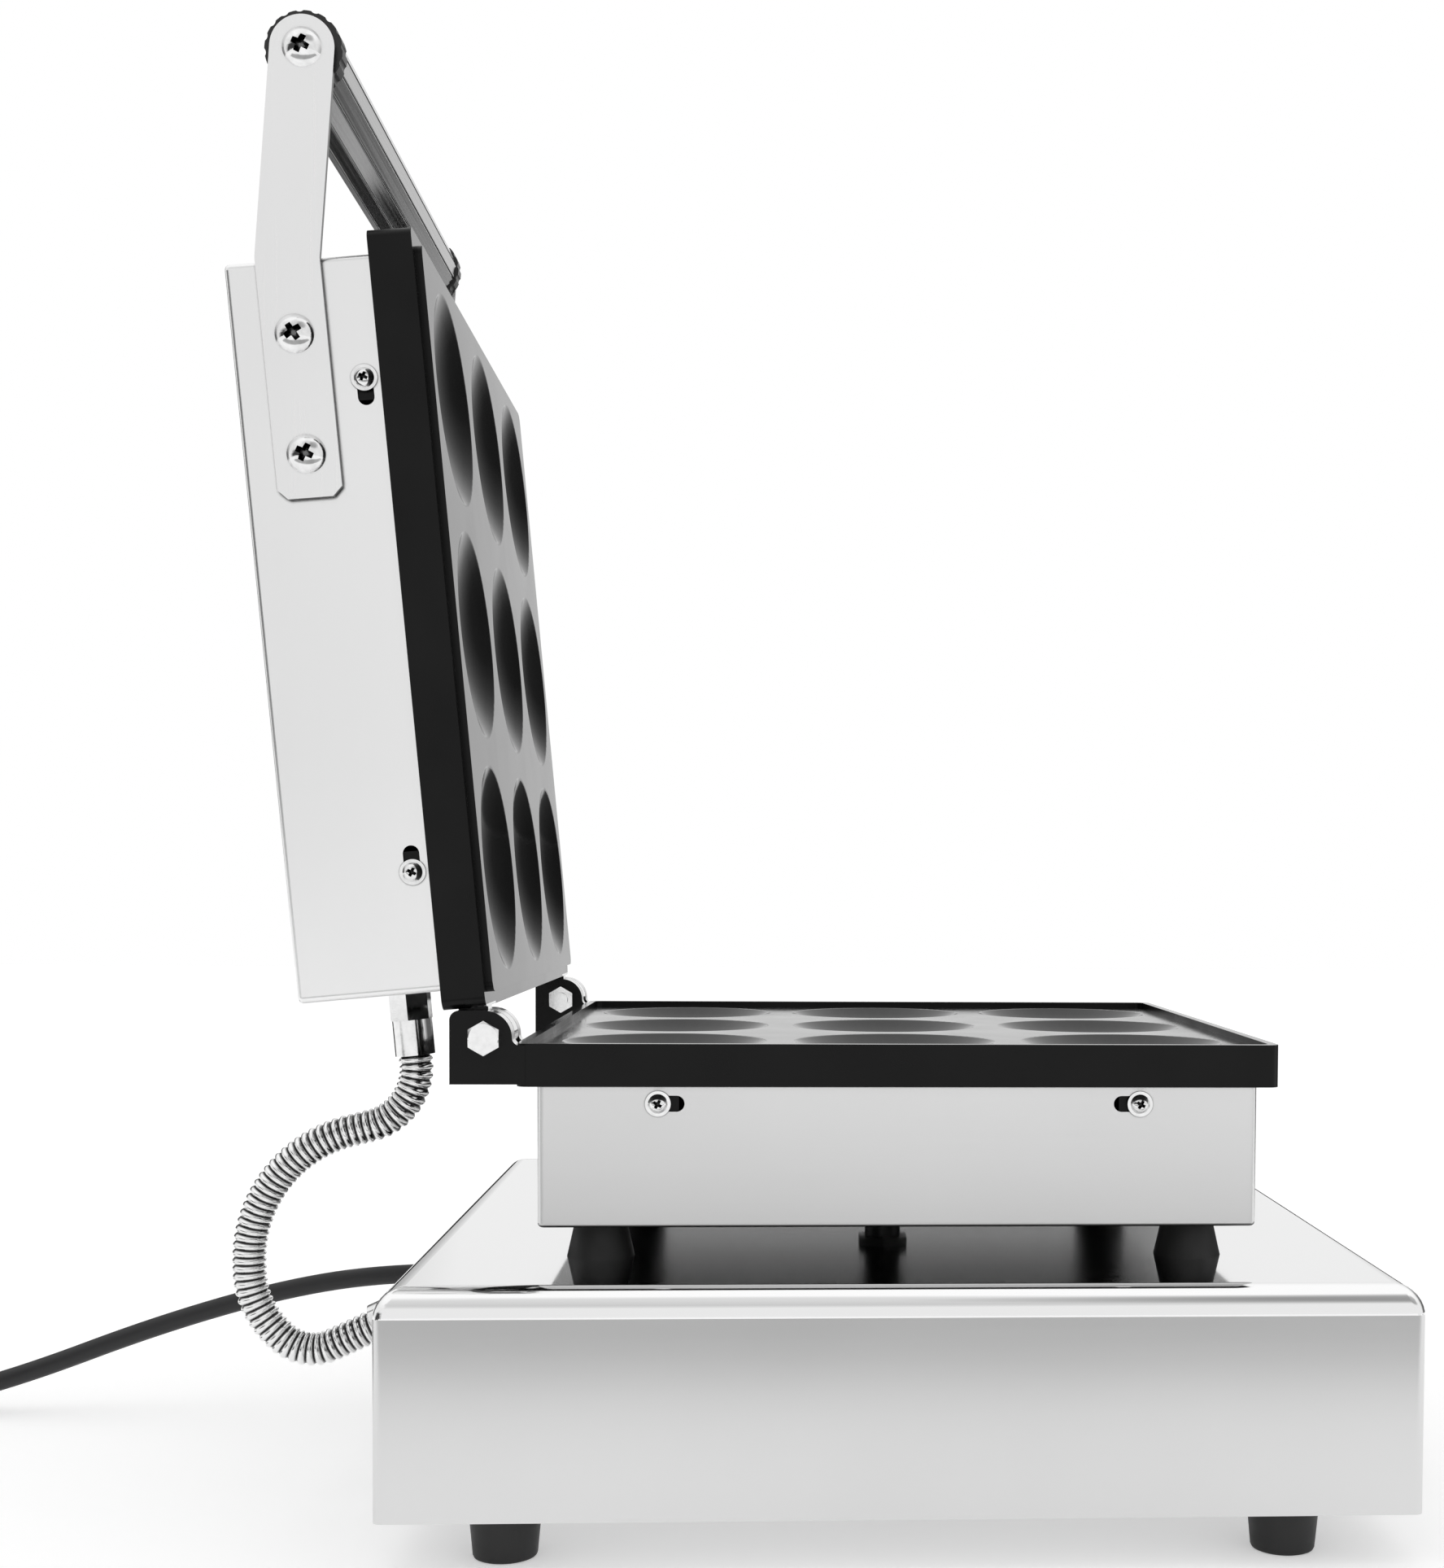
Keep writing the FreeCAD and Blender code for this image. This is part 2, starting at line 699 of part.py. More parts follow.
nodes["lower_heating_element"] = moved(heater(), to_lower)
nodes["lower_element_clamps"] = moved(clamps(), to_lower)
nodes["lower_clamp_screws"] = moved(clamp_screws(), to_lower)
wool_holes = [rod(wool_leg_hole_r, p + Z * unit_z, Z, housing_h) for p in leg_places]
wool_holes.append(rod(wool_hole_r, V(0, 0, unit_z), Z, housing_h))
nodes["lower_insulation"] = moved(wool(), to_lower).cut(wool_holes)
bulb_z = seat_z - bulb_r - element_gap
nodes["thermostat_bulb"] = rod(bulb_r, V(-bulb_l / 2, 0, bulb_z), X, bulb_l)

# Hinge bolts from outside, nuts inside
hinge_bolts = []
hinge_nuts = []
bolt_l = ear_outer - ear_e + m8_nut_h + bolt_end
for s in (-1, 1):
    hinge_bolts.append(hex_bolt(m8_r, m8_af, m8_head_h, bolt_l, pivot + X * (s * ear_outer), X * -s))
    hinge_nuts.append(hex_nut(m8_r, m8_af, m8_nut_h, pivot + X * (s * ear_e), X * -s))
nodes["hinge_bolts"] = group(hinge_bolts)
nodes["hinge_nuts"] = group(hinge_nuts)

# Lid unit, made flat in the lid's frame
to_upper = V(0, lid_centre_u, lid_face_n)


def lid_ear(x0, x1):
    eye = rod(ear_r, V(x0, 0, 0), X, x1 - x0)
    web = box(x0, x1, 0, hinge_back + ear_root, -ear_r, lid_face_n - ear_face_gap)
    return eye.fuse(web)


lid_ears = [lid_ear(*span) for span in both_sides(ear_c, ear_b)]
lid_bore = rod(m8_r + run_gap, V(-plate_w, 0, 0), X, 2 * plate_w)
upper_plate = moved(mould_plate(False), to_upper).fuse(lid_ears).cut(lid_bore).removeSplitter()
nodes["upper_mould_plate"] = in_lid(upper_plate)
lid_holes = [rod(m8_r + hole_gap, V(-housing_w, u, arm_n), X, 2 * housing_w) for u in arm_screw_u]
lid_holes.append(rod(conduit_bore_r, V(hose_x, housing_end_u - cut_reach, gland_n), Y, 2 * cut_reach))
nodes["upper_housing"] = in_lid(moved(housing(), to_upper).cut(lid_holes))
nodes["upper_housing_washers"] = in_lid(moved(side_washers(), to_upper))
nodes["upper_housing_screws"] = in_lid(moved(side_screws(), to_upper))
nodes["upper_heating_element"] = in_lid(moved(heater(), to_upper))
nodes["upper_element_clamps"] = in_lid(moved(clamps(), to_upper))
nodes["upper_clamp_screws"] = in_lid(moved(clamp_screws(), to_upper))
nodes["upper_insulation"] = in_lid(moved(wool(), to_upper))


# Handle arms: flat bars with a shallow dog-leg, round at the grip
def arm(x0):
    half = arm_w / 2
    lower = box(x0, x0 + arm_t, arm_end_u, arm_bend_u, arm_n - half, arm_n + half)
    ends = [e for e in lower.Edges if e.BoundBox.YMax < arm_end_u + 1e-6 and e.BoundBox.XLength > arm_t / 2]
    lower = lower.makeChamfer(arm_chamfer, ends)
    rise = V(0, grip_u - arm_bend_u, grip_n - arm_n)
    upper = box(x0, x0 + arm_t, 0, rise.Length, -half, half)
    upper.rotate(V(0, 0, 0), X, math.degrees(math.atan2(rise.z, rise.y)))
    upper.translate(V(0, arm_bend_u, arm_n))
    knee = rod(half, V(x0, arm_bend_u, arm_n), X, arm_t)
    top = rod(half, V(x0, grip_u, grip_n), X, arm_t)
    holes = [rod(m8_r + hole_gap, V(x0, u, arm_n), X, arm_t) for u in arm_screw_u]
    holes.append(rod(m8_r + hole_gap, V(x0, grip_u, grip_n), X, arm_t))
    return lower.fuse([upper, knee, top]).removeSplitter().cut(holes)


arm_in = housing_half
arm_out = arm_in + arm_t
nodes["handle_arm_left"] = in_lid(arm(-arm_out))
nodes["handle_arm_right"] = in_lid(arm(arm_in))
arm_screws = []
arm_nuts = []
for s in (-1, 1):
    for i, u in enumerate(arm_screw_u):
        seat = V(s * arm_out, u, arm_n)
        length = arm_t + housing_sheet + m8_nut_h + bolt_end
        arm_screws.append(pan_screw(m8_r, m8_pan_r, m8_pan_h, length, seat, X * -s, cross_turn * (1 + i)))
        arm_nuts.append(hex_nut(m8_r, m8_af, m8_nut_h, V(s * (arm_in - housing_sheet), u, arm_n), X * -s))
nodes["arm_screws"] = in_lid(group(arm_screws))
nodes["arm_nuts"] = in_lid(group(arm_nuts))

# Grip bar: drawn tube of flats with a groove between each two, a scalloped cap in each end, and a
# screw through each arm into its cap
grip_axis = V(0, grip_u, grip_n)
grip_half = arm_in - cap_flange
grip_l = 2 * grip_half
grooves = [rod(grip_groove_r, corner, Z, grip_l) for corner in corners(grip_sides, grip_r)]
bar = prism(grip_sides, grip_r, grip_l).cut(grooves + [rod(grip_bore_r, V(0, 0, 0), Z, grip_l)])
nodes["handle_bar"] = in_lid(moved(turned(bar, X), grip_axis - X * grip_half))
caps = []
bar_screws = []
for s in (-1, 1):
    inward = X * -s
    outer_end = grip_axis + X * (s * arm_in)
    scallop_spots = corners(cap_scallops, cap_r + cap_scallop_out)
    scallops = [rod(cap_scallop_r, spot, Z, cap_flange) for spot in scallop_spots]
    cap = rod(cap_r, V(0, 0, 0), Z, cap_flange).cut(scallops)
    cap = cap.fuse(rod(grip_bore_r - slide_gap, Z * cap_flange, Z, cap_spigot))
    cap = cap.cut(rod(m8_r, V(0, 0, 0), Z, cap_flange + cap_spigot))
    caps.append(moved(turned(cap, inward), outer_end))
    length = arm_t + cap_flange + cap_spigot - thread_short
    bar_screws.append(pan_screw(m8_r, m8_pan_r, m8_pan_h, length, grip_axis + X * (s * arm_out), inward))
nodes["handle_end_caps"] = in_lid(group(caps))
nodes["bar_screws"] = in_lid(group(bar_screws))

# Hose gland and ferrule on the lid housing's hinge end
gland_at = V(hose_x, housing_end_u, gland_n)
gland = hexagon(gland_af, gland_at, Y * -1, gland_l)
gland = gland.fuse(rod(conduit_bore_r - hole_gap, gland_at, Y, gland_neck_l))
gland_bore = rod(hose_bore_r, gland_at - Y * gland_l, Y, gland_l + gland_neck_l)
nodes["lid_hose_gland"] = in_lid(gland.cut(gland_bore))
ferrule_at = gland_at - Y * gland_l
ferrule_bore_r = hose_crest_r + slide_gap
nodes["lid_hose_ferrule"] = in_lid(ring(ferrule_r, ferrule_bore_r, ferrule_at, Y * -1, ferrule_l))

# Corrugated hose: straight in its two seats, tangent arcs between, ribs of four circles each
hose_start_u = housing_end_u - gland_l - slide_gap
hose_corners = [lid_point(hose_start_u - hose_first_drop, gland_n)]
hose_corners += [V(0, rear_y + out, elbow_z + rise) for out, rise, r in hose_bends]
hose_radii = [hose_first_r] + [r for out, rise, r in hose_bends]
hose_base_end = V(0, rear_y + hose_end_out, elbow_z + hose_end_up)
hose_in = (hose_base_end - hose_corners[-1]).normalize()
hose_points = [lid_point(hose_start_u, gland_n)] + hose_corners + [hose_base_end + hose_in * hose_entry]
hose_edges = rounded_path(hose_points, hose_radii)
hose_length = sum(e.Length for e in hose_edges)


def hose_station(s):
    for e in hose_edges:
        if s <= e.Length or e is hose_edges[-1]:
            at = e.getParameterByLength(min(s, e.Length))
            return e.valueAt(at), e.tangentAt(at)
        s -= e.Length


def hose_ring(s, r):
    at, along = hose_station(s)
    circle = Part.Wire(Part.makeCircle(r))
    tilt = math.degrees(math.atan2(-along.y, along.z))
    circle.Placement = FreeCAD.Placement(at + X * hose_x, FreeCAD.Rotation(X, tilt))
    return circle


rib_count = int(hose_length / hose_rib_pitch)
rib_l = hose_length / rib_count
rib_shape = ((0.0, hose_valley_r), (0.28, hose_crest_r), (0.62, hose_crest_r), (0.9, hose_valley_r))
outer_rings = []
bore_rings = []
for i in range(rib_count):
    for share, r in rib_shape:
        outer_rings.append(hose_ring((i + share) * rib_l, r))
    bore_rings.append(hose_ring(i * rib_l, hose_bore_r))
outer_rings.append(hose_ring(hose_length, hose_valley_r))
bore_rings.append(hose_ring(hose_length, hose_bore_r))
hose_body = Part.makeLoft(outer_rings, True, True)
nodes["conduit_hose"] = hose_body.cut(Part.makeLoft(bore_rings, True, True))
print("hose length", round(hose_length, 1), "ribs", rib_count)

# Angled fitting on the base's rear wall that takes the hose's lower end
elbow_back = V(hose_x, rear_y - elbow_inside, elbow_z)
elbow_at = V(hose_x, rear_y + elbow_stand, elbow_z)
elbow_l = elbow_inside + elbow_stand
mouth = hose_base_end + X * hose_x - hose_in * elbow_lip
socket_l = (elbow_at - mouth).dot(hose_in)
elbow = rod(elbow_r, elbow_back, Y, elbow_l)
elbow = elbow.fuse(Part.makeSphere(elbow_r, elbow_at))
elbow = elbow.fuse(rod(elbow_r, mouth, hose_in, socket_l))
elbow = elbow.fuse(hexagon(elbow_hex_af, V(hose_x, rear_y, elbow_z), Y, elbow_hex_l))
elbow_seat = rod(ferrule_bore_r, mouth, hose_in, elbow_seat_l)
elbow_bore = rod(hose_bore_r, elbow_back, Y, elbow_l).fuse(rod(hose_bore_r, mouth, hose_in, socket_l))
nodes["base_hose_elbow"] = elbow.cut([elbow_seat, elbow_bore]).removeSplitter()
nodes["elbow_locknut"] = hex_nut(elbow_r, elbow_nut_af, locknut_h,
                                 V(hose_x, rear_y - base_sheet - locknut_h, elbow_z), Y)

# Control panel on the front with its screws
panel = box(-panel_w / 2, panel_w / 2, panel_front, front_y, panel_z - panel_h / 2, panel_z + panel_h / 2)
nodes["control_panel"] = panel.cut(front_holes)
panel_seats = [V(p.x, panel_front, p.z) for p in panel_screw_places]
nodes["panel_screws"] = group([pan_screw(m4_r, m4_head_r, m4_head_h, panel_screw_l, seat, Y)
                               for seat in panel_seats])


# Thermostat and timer: body inside, bush through the wall, shaft in the bush, knob on the shaft
def control(name, cx):
    half = control_body / 2
    inside = front_y + base_sheet
    body = box(cx - half, cx + half, inside, inside + control_body_l, panel_z - half, panel_z + half)
    axis = V(cx, 0, panel_z)
    body = body.fuse(rod(control_bush_r, axis + Y * panel_front, Y, base_sheet + panel_t + overlap))
    shaft_back = inside + control_body_l - control_back_t
    body = body.cut(rod(shaft_r + run_gap, axis + Y * panel_front, Y, shaft_back - panel_front))
    nodes[name + "_body"] = body.removeSplitter()
    shaft_tip = panel_front - shaft_stand
    nodes[name + "_shaft"] = rod(shaft_r, axis + Y * shaft_tip, Y, shaft_back - slide_gap - shaft_tip)
    knob_back = panel_front - knob_gap
    knob_face = knob_back - knob_h
    wing_half = knob_r - knob_wing_inset
    knob = Part.makeCone(knob_r, knob_r - knob_taper, knob_h, axis + Y * knob_back, Y * -1)
    wing = box(cx - knob_wing_w / 2, cx + knob_wing_w / 2, knob_face - knob_wing_h, knob_face,
               panel_z - wing_half, panel_z + wing_half)
    nodes[name + "_knob"] = knob.fuse(wing).cut(rod(shaft_r, axis + Y * shaft_tip, Y, knob_back - shaft_tip))


control("thermostat", thermostat_x)
control("timer", timer_x)

# Pilot lamps: lens flange outside, body through the panel
lamps = []
for p in lamp_places:
    lens_at = V(p.x, panel_front - lamp_flange_t, p.z)
    flange = rod(lamp_flange_r, V(p.x, panel_front, p.z), Y * -1, lamp_flange_t)
    lens = Part.makeSphere(lamp_r, lens_at).common(rod(lamp_r, lens_at, Y * -1, lamp_r))
    stem = rod(lamp_r, V(p.x, panel_front, p.z), Y, lamp_l)
    lamps.append(stem.fuse([flange, lens]).removeSplitter())
nodes["pilot_lamps"] = group(lamps)

# Rocker switch: housing with a well, rocker on two stub pins, tipped to its off side at rest
rocker_pivot = V(0, panel_front + rocker_depth, switch_z)
flange_half_w = switch_w / 2 + switch_flange
flange_half_h = switch_h / 2 + switch_flange
flange_front = panel_front - switch_flange_t
switch_body = box(-switch_w / 2, switch_w / 2, panel_front, panel_front + switch_l,
                  switch_z - switch_h / 2, switch_z + switch_h / 2)
switch_body = switch_body.fuse(box(-flange_half_w, flange_half_w, flange_front, panel_front,
                                   switch_z - flange_half_h, switch_z + flange_half_h))
well_w = rocker_w / 2 + slide_gap
well_h = rocker_h / 2 + rocker_gap
well = box(-well_w, well_w, flange_front, panel_front + switch_well_d, switch_z - well_h, switch_z + well_h)
pin_end = well_w + rocker_pin_l + slide_gap
pin_bore = rod(rocker_pin_r + run_gap, rocker_pivot - X * pin_end, X, 2 * pin_end)
nodes["switch_housing"] = switch_body.cut([well, pin_bore]).removeSplitter()
rocker_half = rocker_h / 2
rocker_tip = -rocker_stand - rocker_half * math.tan(math.radians(rocker_tilt))
rocker_heel = rocker_half - rocker_back_inset
outline = [V(0, rocker_tip, rocker_half), V(0, -rocker_stand, 0), V(0, rocker_tip, -rocker_half),
           V(0, rocker_back, -rocker_heel), V(0, rocker_back, rocker_heel)]
rocker = Part.Face(Part.makePolygon(outline + outline[:1])).extrude(X * rocker_w)
rocker.translate(X * (-rocker_w / 2))
rocker = rocker.fuse(rod(rocker_pin_r, X * (-rocker_w / 2 - rocker_pin_l), X, rocker_w + 2 * rocker_pin_l))
rocker.rotate(V(0, 0, 0), X, -rocker_tilt)
nodes["switch_rocker"] = moved(rocker, rocker_pivot)

# Terminal block on the bottom plate
terminal_top = lip_z + terminal_h
terminal = box(-terminal_w / 2, terminal_w / 2, terminal_y, terminal_y + terminal_l, lip_z, terminal_top)
wells = []
for i in range(terminal_ways):
    tx = (i - (terminal_ways - 1) / 2) * terminal_pitch
    for ty in (terminal_y + terminal_well_inset, terminal_y + terminal_l - terminal_well_inset):
        wells.append(rod(terminal_well_r, V(tx, ty, terminal_top - terminal_well_d), Z, terminal_well_d))
nodes["terminal_block"] = terminal.cut(wells)

# Mains cord: gland with a tapered sleeve in the rear wall, free tube down to the worktop, the rest put
# away in a coil, plug beside it
cord_r = cord_d / 2
cord_points = [V(cord_x, rear_y + out, z) for out, z in cord_route]
cord_wall = V(cord_x, rear_y, cord_z)
cord_gland = rod(cord_gland_neck_r, cord_wall - Y * cord_gland_inside, Y, cord_gland_inside)
cord_gland = cord_gland.fuse(hexagon(cord_gland_af, cord_wall, Y, cord_gland_hex_l))
sleeve_at = cord_wall + Y * cord_gland_hex_l
sleeve_l = cord_gland_l - cord_gland_hex_l
sleeve_tip_r = cord_r + cord_gland_tip_t
cord_gland = cord_gland.fuse(Part.makeCone(cord_gland_cone_r, sleeve_tip_r, sleeve_l, sleeve_at, Y))
cord_core = rod(cord_r + slide_gap, cord_wall - Y * cord_gland_inside, Y, cord_gland_inside + cord_gland_l)
nodes["cord_gland"] = cord_gland.cut(cord_core).removeSplitter()
nodes["cord_gland_nut"] = hex_nut(cord_gland_neck_r, cord_nut_af, locknut_h,
                                  cord_wall - Y * (base_sheet + locknut_h), Y)

cord_radii = []
for i in range(1, len(cord_points) - 1):
    before = cord_points[i - 1] - cord_points[i]
    after = cord_points[i + 1] - cord_points[i]
    half_turn = (math.pi - before.getAngle(after)) / 2
    cord_radii.append(cord_bend_share * min(before.Length, after.Length) / math.tan(half_turn))
cord_edges = rounded_path(cord_points, cord_radii)
nodes["mains_cord"] = tube(cord_edges, cord_r)
cord_run = sum(e.Length for e in cord_edges)
print("cord arc radii", [round(r, 1) for r in cord_radii])
print("cord volume", round(nodes["mains_cord"].Volume, 1),
      "section x length", round(math.pi * cord_r ** 2 * cord_run, 1))


# Coil: in along the lower layer, up a layer in the half turn where it reverses, out along the upper layer
def biarc(p, tp, q, tq):
    v = q - p
    t = tp + tq
    k = 2 * (1 - tp.dot(tq))
    d = (-v.dot(t) + math.sqrt(v.dot(t) ** 2 + k * v.dot(v))) / k
    m = (p + q + (tp - tq) * d) * 0.5
    tm = (m - (p + tp * d)).normalize()
    return [arc_from(p, tp, m), arc_from(m, tm, q)]


def arc_from(p, t, q):
    chord = q - p
    side = (chord - t * chord.dot(t)).normalize()
    r = chord.dot(chord) / (2 * chord.dot(side))
    half = math.atan2(chord.dot(side), chord.dot(t))
    mid = p + t * (r * math.sin(half)) + side * (r * (1 - math.cos(half)))
    return Part.Arc(p, mid, q).toShape()


coil_pitch = cord_d + coil_gap
quarter_in = coil_pitch / 4
coil_outer_r = coil_mid_r + quarter_in * coil_quarters / 2
coil_centre = V(cord_x - coil_outer_r, cord_points[-1].y, 0)
floor_z = cord_points[-1].z
turn_rate = 2 * math.pi / 4
coil_stations = []
for i in range(2 * coil_quarters + 3):
    inward = min(i, coil_quarters)
    outward = max(i - coil_quarters - 2, 0)
    reversing = i == coil_quarters + 1
    r = coil_outer_r - quarter_in * (inward - outward) - (quarter_in / 2 if reversing else 0)
    climb = min(max(i - coil_quarters, 0), 2) / 2
    slope_r = 0 if reversing else (-quarter_in if i <= coil_quarters else quarter_in)
    slope_z = coil_pitch * 0.75 if reversing else 0
    if i == 0 or i == 2 * coil_quarters + 2:
        slope_r = 0
    a = turn_rate * i
    radial = V(math.cos(a), math.sin(a), 0)
    around = V(-math.sin(a), math.cos(a), 0)
    place = coil_centre + radial * r + Z * (floor_z + coil_pitch * climb)
    heading = (around * (r * turn_rate) + radial * slope_r + Z * slope_z).normalize()
    coil_stations.append((place, heading))
coil_edges = []
for (p, tp), (q, tq) in zip(coil_stations, coil_stations[1:]):
    coil_edges += biarc(p, tp, q, tq)
coil_end, coil_heading = coil_stations[-1]
tail_end = coil_end + coil_heading * coil_tail
coil_edges.append(Part.makeLine(coil_end, tail_end))
nodes["mains_cord_coil"] = tube(coil_edges, cord_r)
coil_length = sum(e.Length for e in coil_edges)
print("coil volume", round(nodes["mains_cord_coil"].Volume, 1),
      "section x length", round(math.pi * cord_r ** 2 * coil_length, 1))
print("cord length in all", round(cord_run + coil_length, 1))


def least_self_gap(edges, r, step=4.0):
    points = []
    run = 0.0
    for e in edges:
        count = max(int(e.Length / step), 2)
        for j in range(count):
            at = e.getParameterByLength(e.Length * j / count)
            points.append((run + e.Length * j / count, e.valueAt(at)))
        run += e.Length
    apart = math.pi * r * 2
    least = 1e9
    for i, (s, p) in enumerate(points):
        for t, q in points[i + 1:]:
            if t - s > apart:
                least = min(least, p.distanceToPoint(q) - 2 * r)
    return least


print("least self-gap of the coil", round(least_self_gap(coil_edges, cord_r), 2))
print("least self-gap of the hose", round(least_self_gap(hose_edges, hose_crest_r), 2))

# Plug at the coil's tail
plug_back = tail_end + Y * plug_seam
plug = box(plug_back.x - plug_w / 2, plug_back.x + plug_w / 2, plug_back.y, plug_back.y + plug_l,
           plug_back.z - plug_h / 2, plug_back.z + plug_h / 2)
plug = plug.makeFillet(plug_corner_r, [e for e in plug.Edges if e.BoundBox.YLength > plug_l / 2])
prong_y = plug_back.y + plug_l - overlap
prongs = []
for s in (-1, 1):
    bx = plug_back.x + s * blade_apart / 2
    prongs.append(box(bx - blade_w / 2, bx + blade_w / 2, prong_y, prong_y + overlap + blade_l,
                      plug_back.z, plug_back.z + blade_h))
earth_at = V(plug_back.x, prong_y, plug_back.z - earth_pin_drop)
prongs.append(rod(earth_pin_r, earth_at, Y, overlap + earth_pin_l))
nodes["mains_plug"] = plug.fuse(prongs)

# Origin under the middle of the machine's own box, the free cord left out
cord_nodes = ("mains_cord", "mains_cord_coil", "mains_plug")
extent = FreeCAD.BoundBox()
for name, shape in nodes.items():
    if name not in cord_nodes:
        extent.add(shape.optimalBoundingBox())
shift = V(-extent.Center.x, -extent.Center.y, -extent.ZMin)
os.makedirs("parts", exist_ok=True)
for name, shape in nodes.items():
    moved(shape, shift).exportStep("parts/" + name + ".step")
    solids = len(shape.Solids)
    print(name, "solids", solids, "valid", shape.isValid(), "volume", round(shape.Volume, 1))
print("origin shift", [round(c, 3) for c in shift])
print("box", round(extent.XLength, 1), round(extent.YLength, 1), round(extent.ZLength, 1))
for name, place in (("lid pivot", pivot), ("rocker pivot", rocker_pivot), ("foot", foot_places[0]),
                    ("thermostat axis", V(thermostat_x, panel_front, panel_z)),
                    ("timer axis", V(timer_x, panel_front, panel_z))):
    print(name, [round(c, 3) for c in place + shift])
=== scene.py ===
import bmesh
import bpy
import math
from mathutils import Matrix, Vector


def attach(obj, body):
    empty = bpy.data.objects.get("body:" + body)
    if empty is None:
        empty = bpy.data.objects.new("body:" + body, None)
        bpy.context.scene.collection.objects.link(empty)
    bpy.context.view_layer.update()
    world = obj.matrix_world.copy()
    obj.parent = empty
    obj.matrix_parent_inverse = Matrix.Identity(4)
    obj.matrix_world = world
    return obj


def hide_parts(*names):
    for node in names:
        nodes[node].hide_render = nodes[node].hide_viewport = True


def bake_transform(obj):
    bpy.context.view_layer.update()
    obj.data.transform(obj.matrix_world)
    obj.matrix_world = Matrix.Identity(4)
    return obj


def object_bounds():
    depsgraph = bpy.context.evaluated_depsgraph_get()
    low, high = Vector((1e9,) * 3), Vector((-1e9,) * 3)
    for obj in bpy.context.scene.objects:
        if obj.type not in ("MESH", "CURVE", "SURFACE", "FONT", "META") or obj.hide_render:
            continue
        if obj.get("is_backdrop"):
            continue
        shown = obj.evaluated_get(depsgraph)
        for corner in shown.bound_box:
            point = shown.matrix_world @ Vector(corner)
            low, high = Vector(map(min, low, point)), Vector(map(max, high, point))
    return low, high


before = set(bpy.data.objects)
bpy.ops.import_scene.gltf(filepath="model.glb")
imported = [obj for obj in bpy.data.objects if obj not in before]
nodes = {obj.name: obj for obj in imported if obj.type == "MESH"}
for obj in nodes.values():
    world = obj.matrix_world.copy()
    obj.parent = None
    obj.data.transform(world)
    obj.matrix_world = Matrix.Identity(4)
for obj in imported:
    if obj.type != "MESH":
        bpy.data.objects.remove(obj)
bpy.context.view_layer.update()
scene = bpy.context.scene

# Camera
# Where the machine is looked at from: beside it, level with the moulds, the lens shifted
# only as far as the picture's framing needs.
picture_w = 1775
picture_h = 1927
focal_px = 2514.5
optical_px = (1095.07, 1183.31)
camera_at = Vector((-1.04247, 0.02144, 0.28218))
camera_yaw = -2.939
camera_pitch = -2.121
camera_roll = -0.344

forward = Vector((1, 0, 0))
right = Vector((0, -1, 0))
up = Vector((0, 0, 1))
turn = Matrix.Rotation(math.radians(camera_yaw), 3, up)
forward, right = turn @ forward, turn @ right
turn = Matrix.Rotation(math.radians(camera_pitch), 3, right)
forward, up = turn @ forward, turn @ up
turn = Matrix.Rotation(math.radians(camera_roll), 3, forward)
right, up = turn @ right, turn @ up

lens = bpy.data.cameras.new("camera")
lens.sensor_width = 36
lens.lens = focal_px / picture_h * lens.sensor_width
lens.shift_x = (picture_w / 2 - optical_px[0]) / picture_h
lens.shift_y = (optical_px[1] - picture_h / 2) / picture_h
lens.clip_start = 0.05
camera = bpy.data.objects.new("camera", lens)
camera.matrix_world = Matrix((right, up, -forward)).transposed().to_4x4()
camera.matrix_world.translation = camera_at
scene.collection.objects.link(camera)
scene.camera = camera

# Mains lead
# Round rubber-sheathed three-core lead, 10 mm thick, from the gland in the rear wall down to the
# worktop. What the picture doesn't show is wound into a coil of two layers.
lead_d = 0.010
lead_x = 0.060
lead_points = [(0.19347, 0.0740), (0.23347, 0.0740), (0.28947, 0.0655), (0.35647, 0.0460),
               (0.42647, 0.0195), (0.47947, 0.0053), (0.53147, 0.0053)]
coil_mid_r = 0.055
coil_pitch = 0.0107
coil_dip = coil_pitch / 8
coil_turns_in = 1.75
coil_turns_climb = 0.5
coil_points_per_turn = 16
coil_tail = 0.052
coil_tail_shares = (0.35, 0.7, 1.0)


def new_finish(name, colour, roughness, metallic=0.0):
    """A plain material, with its node tree and shader, that the caller gives its detail."""
    made = bpy.data.materials.new(name)
    made.use_nodes = True
    shader = made.node_tree.nodes["Principled BSDF"]
    shader.inputs["Base Color"].default_value = (*colour, 1)
    shader.inputs["Roughness"].default_value = roughness
    shader.inputs["Metallic"].default_value = metallic
    return made, made.node_tree, shader


def speckle(tree, stretch, detail=2.0):
    """Noise over the piece's own place in metres, with so many cells a metre along X, Y and Z."""
    where = tree.nodes.new("ShaderNodeTexCoord")
    cells = tree.nodes.new("ShaderNodeMapping")
    cells.inputs["Scale"].default_value = stretch
    noise = tree.nodes.new("ShaderNodeTexNoise")
    noise.inputs["Scale"].default_value = 1.0
    noise.inputs["Detail"].default_value = detail
    tree.links.new(where.outputs["Object"], cells.inputs["Vector"])
    tree.links.new(cells.outputs["Vector"], noise.inputs["Vector"])
    return noise.outputs["Fac"]


def between(tree, value, low, high, from_low=0.3, from_high=0.7):
    """The value, stretched from one range to another and held at its ends."""
    span = tree.nodes.new("ShaderNodeMapRange")
    span.inputs["From Min"].default_value = from_low
    span.inputs["From Max"].default_value = from_high
    span.inputs["To Min"].default_value = low
    span.inputs["To Max"].default_value = high
    tree.links.new(value, span.inputs["Value"])
    return span.outputs["Result"]


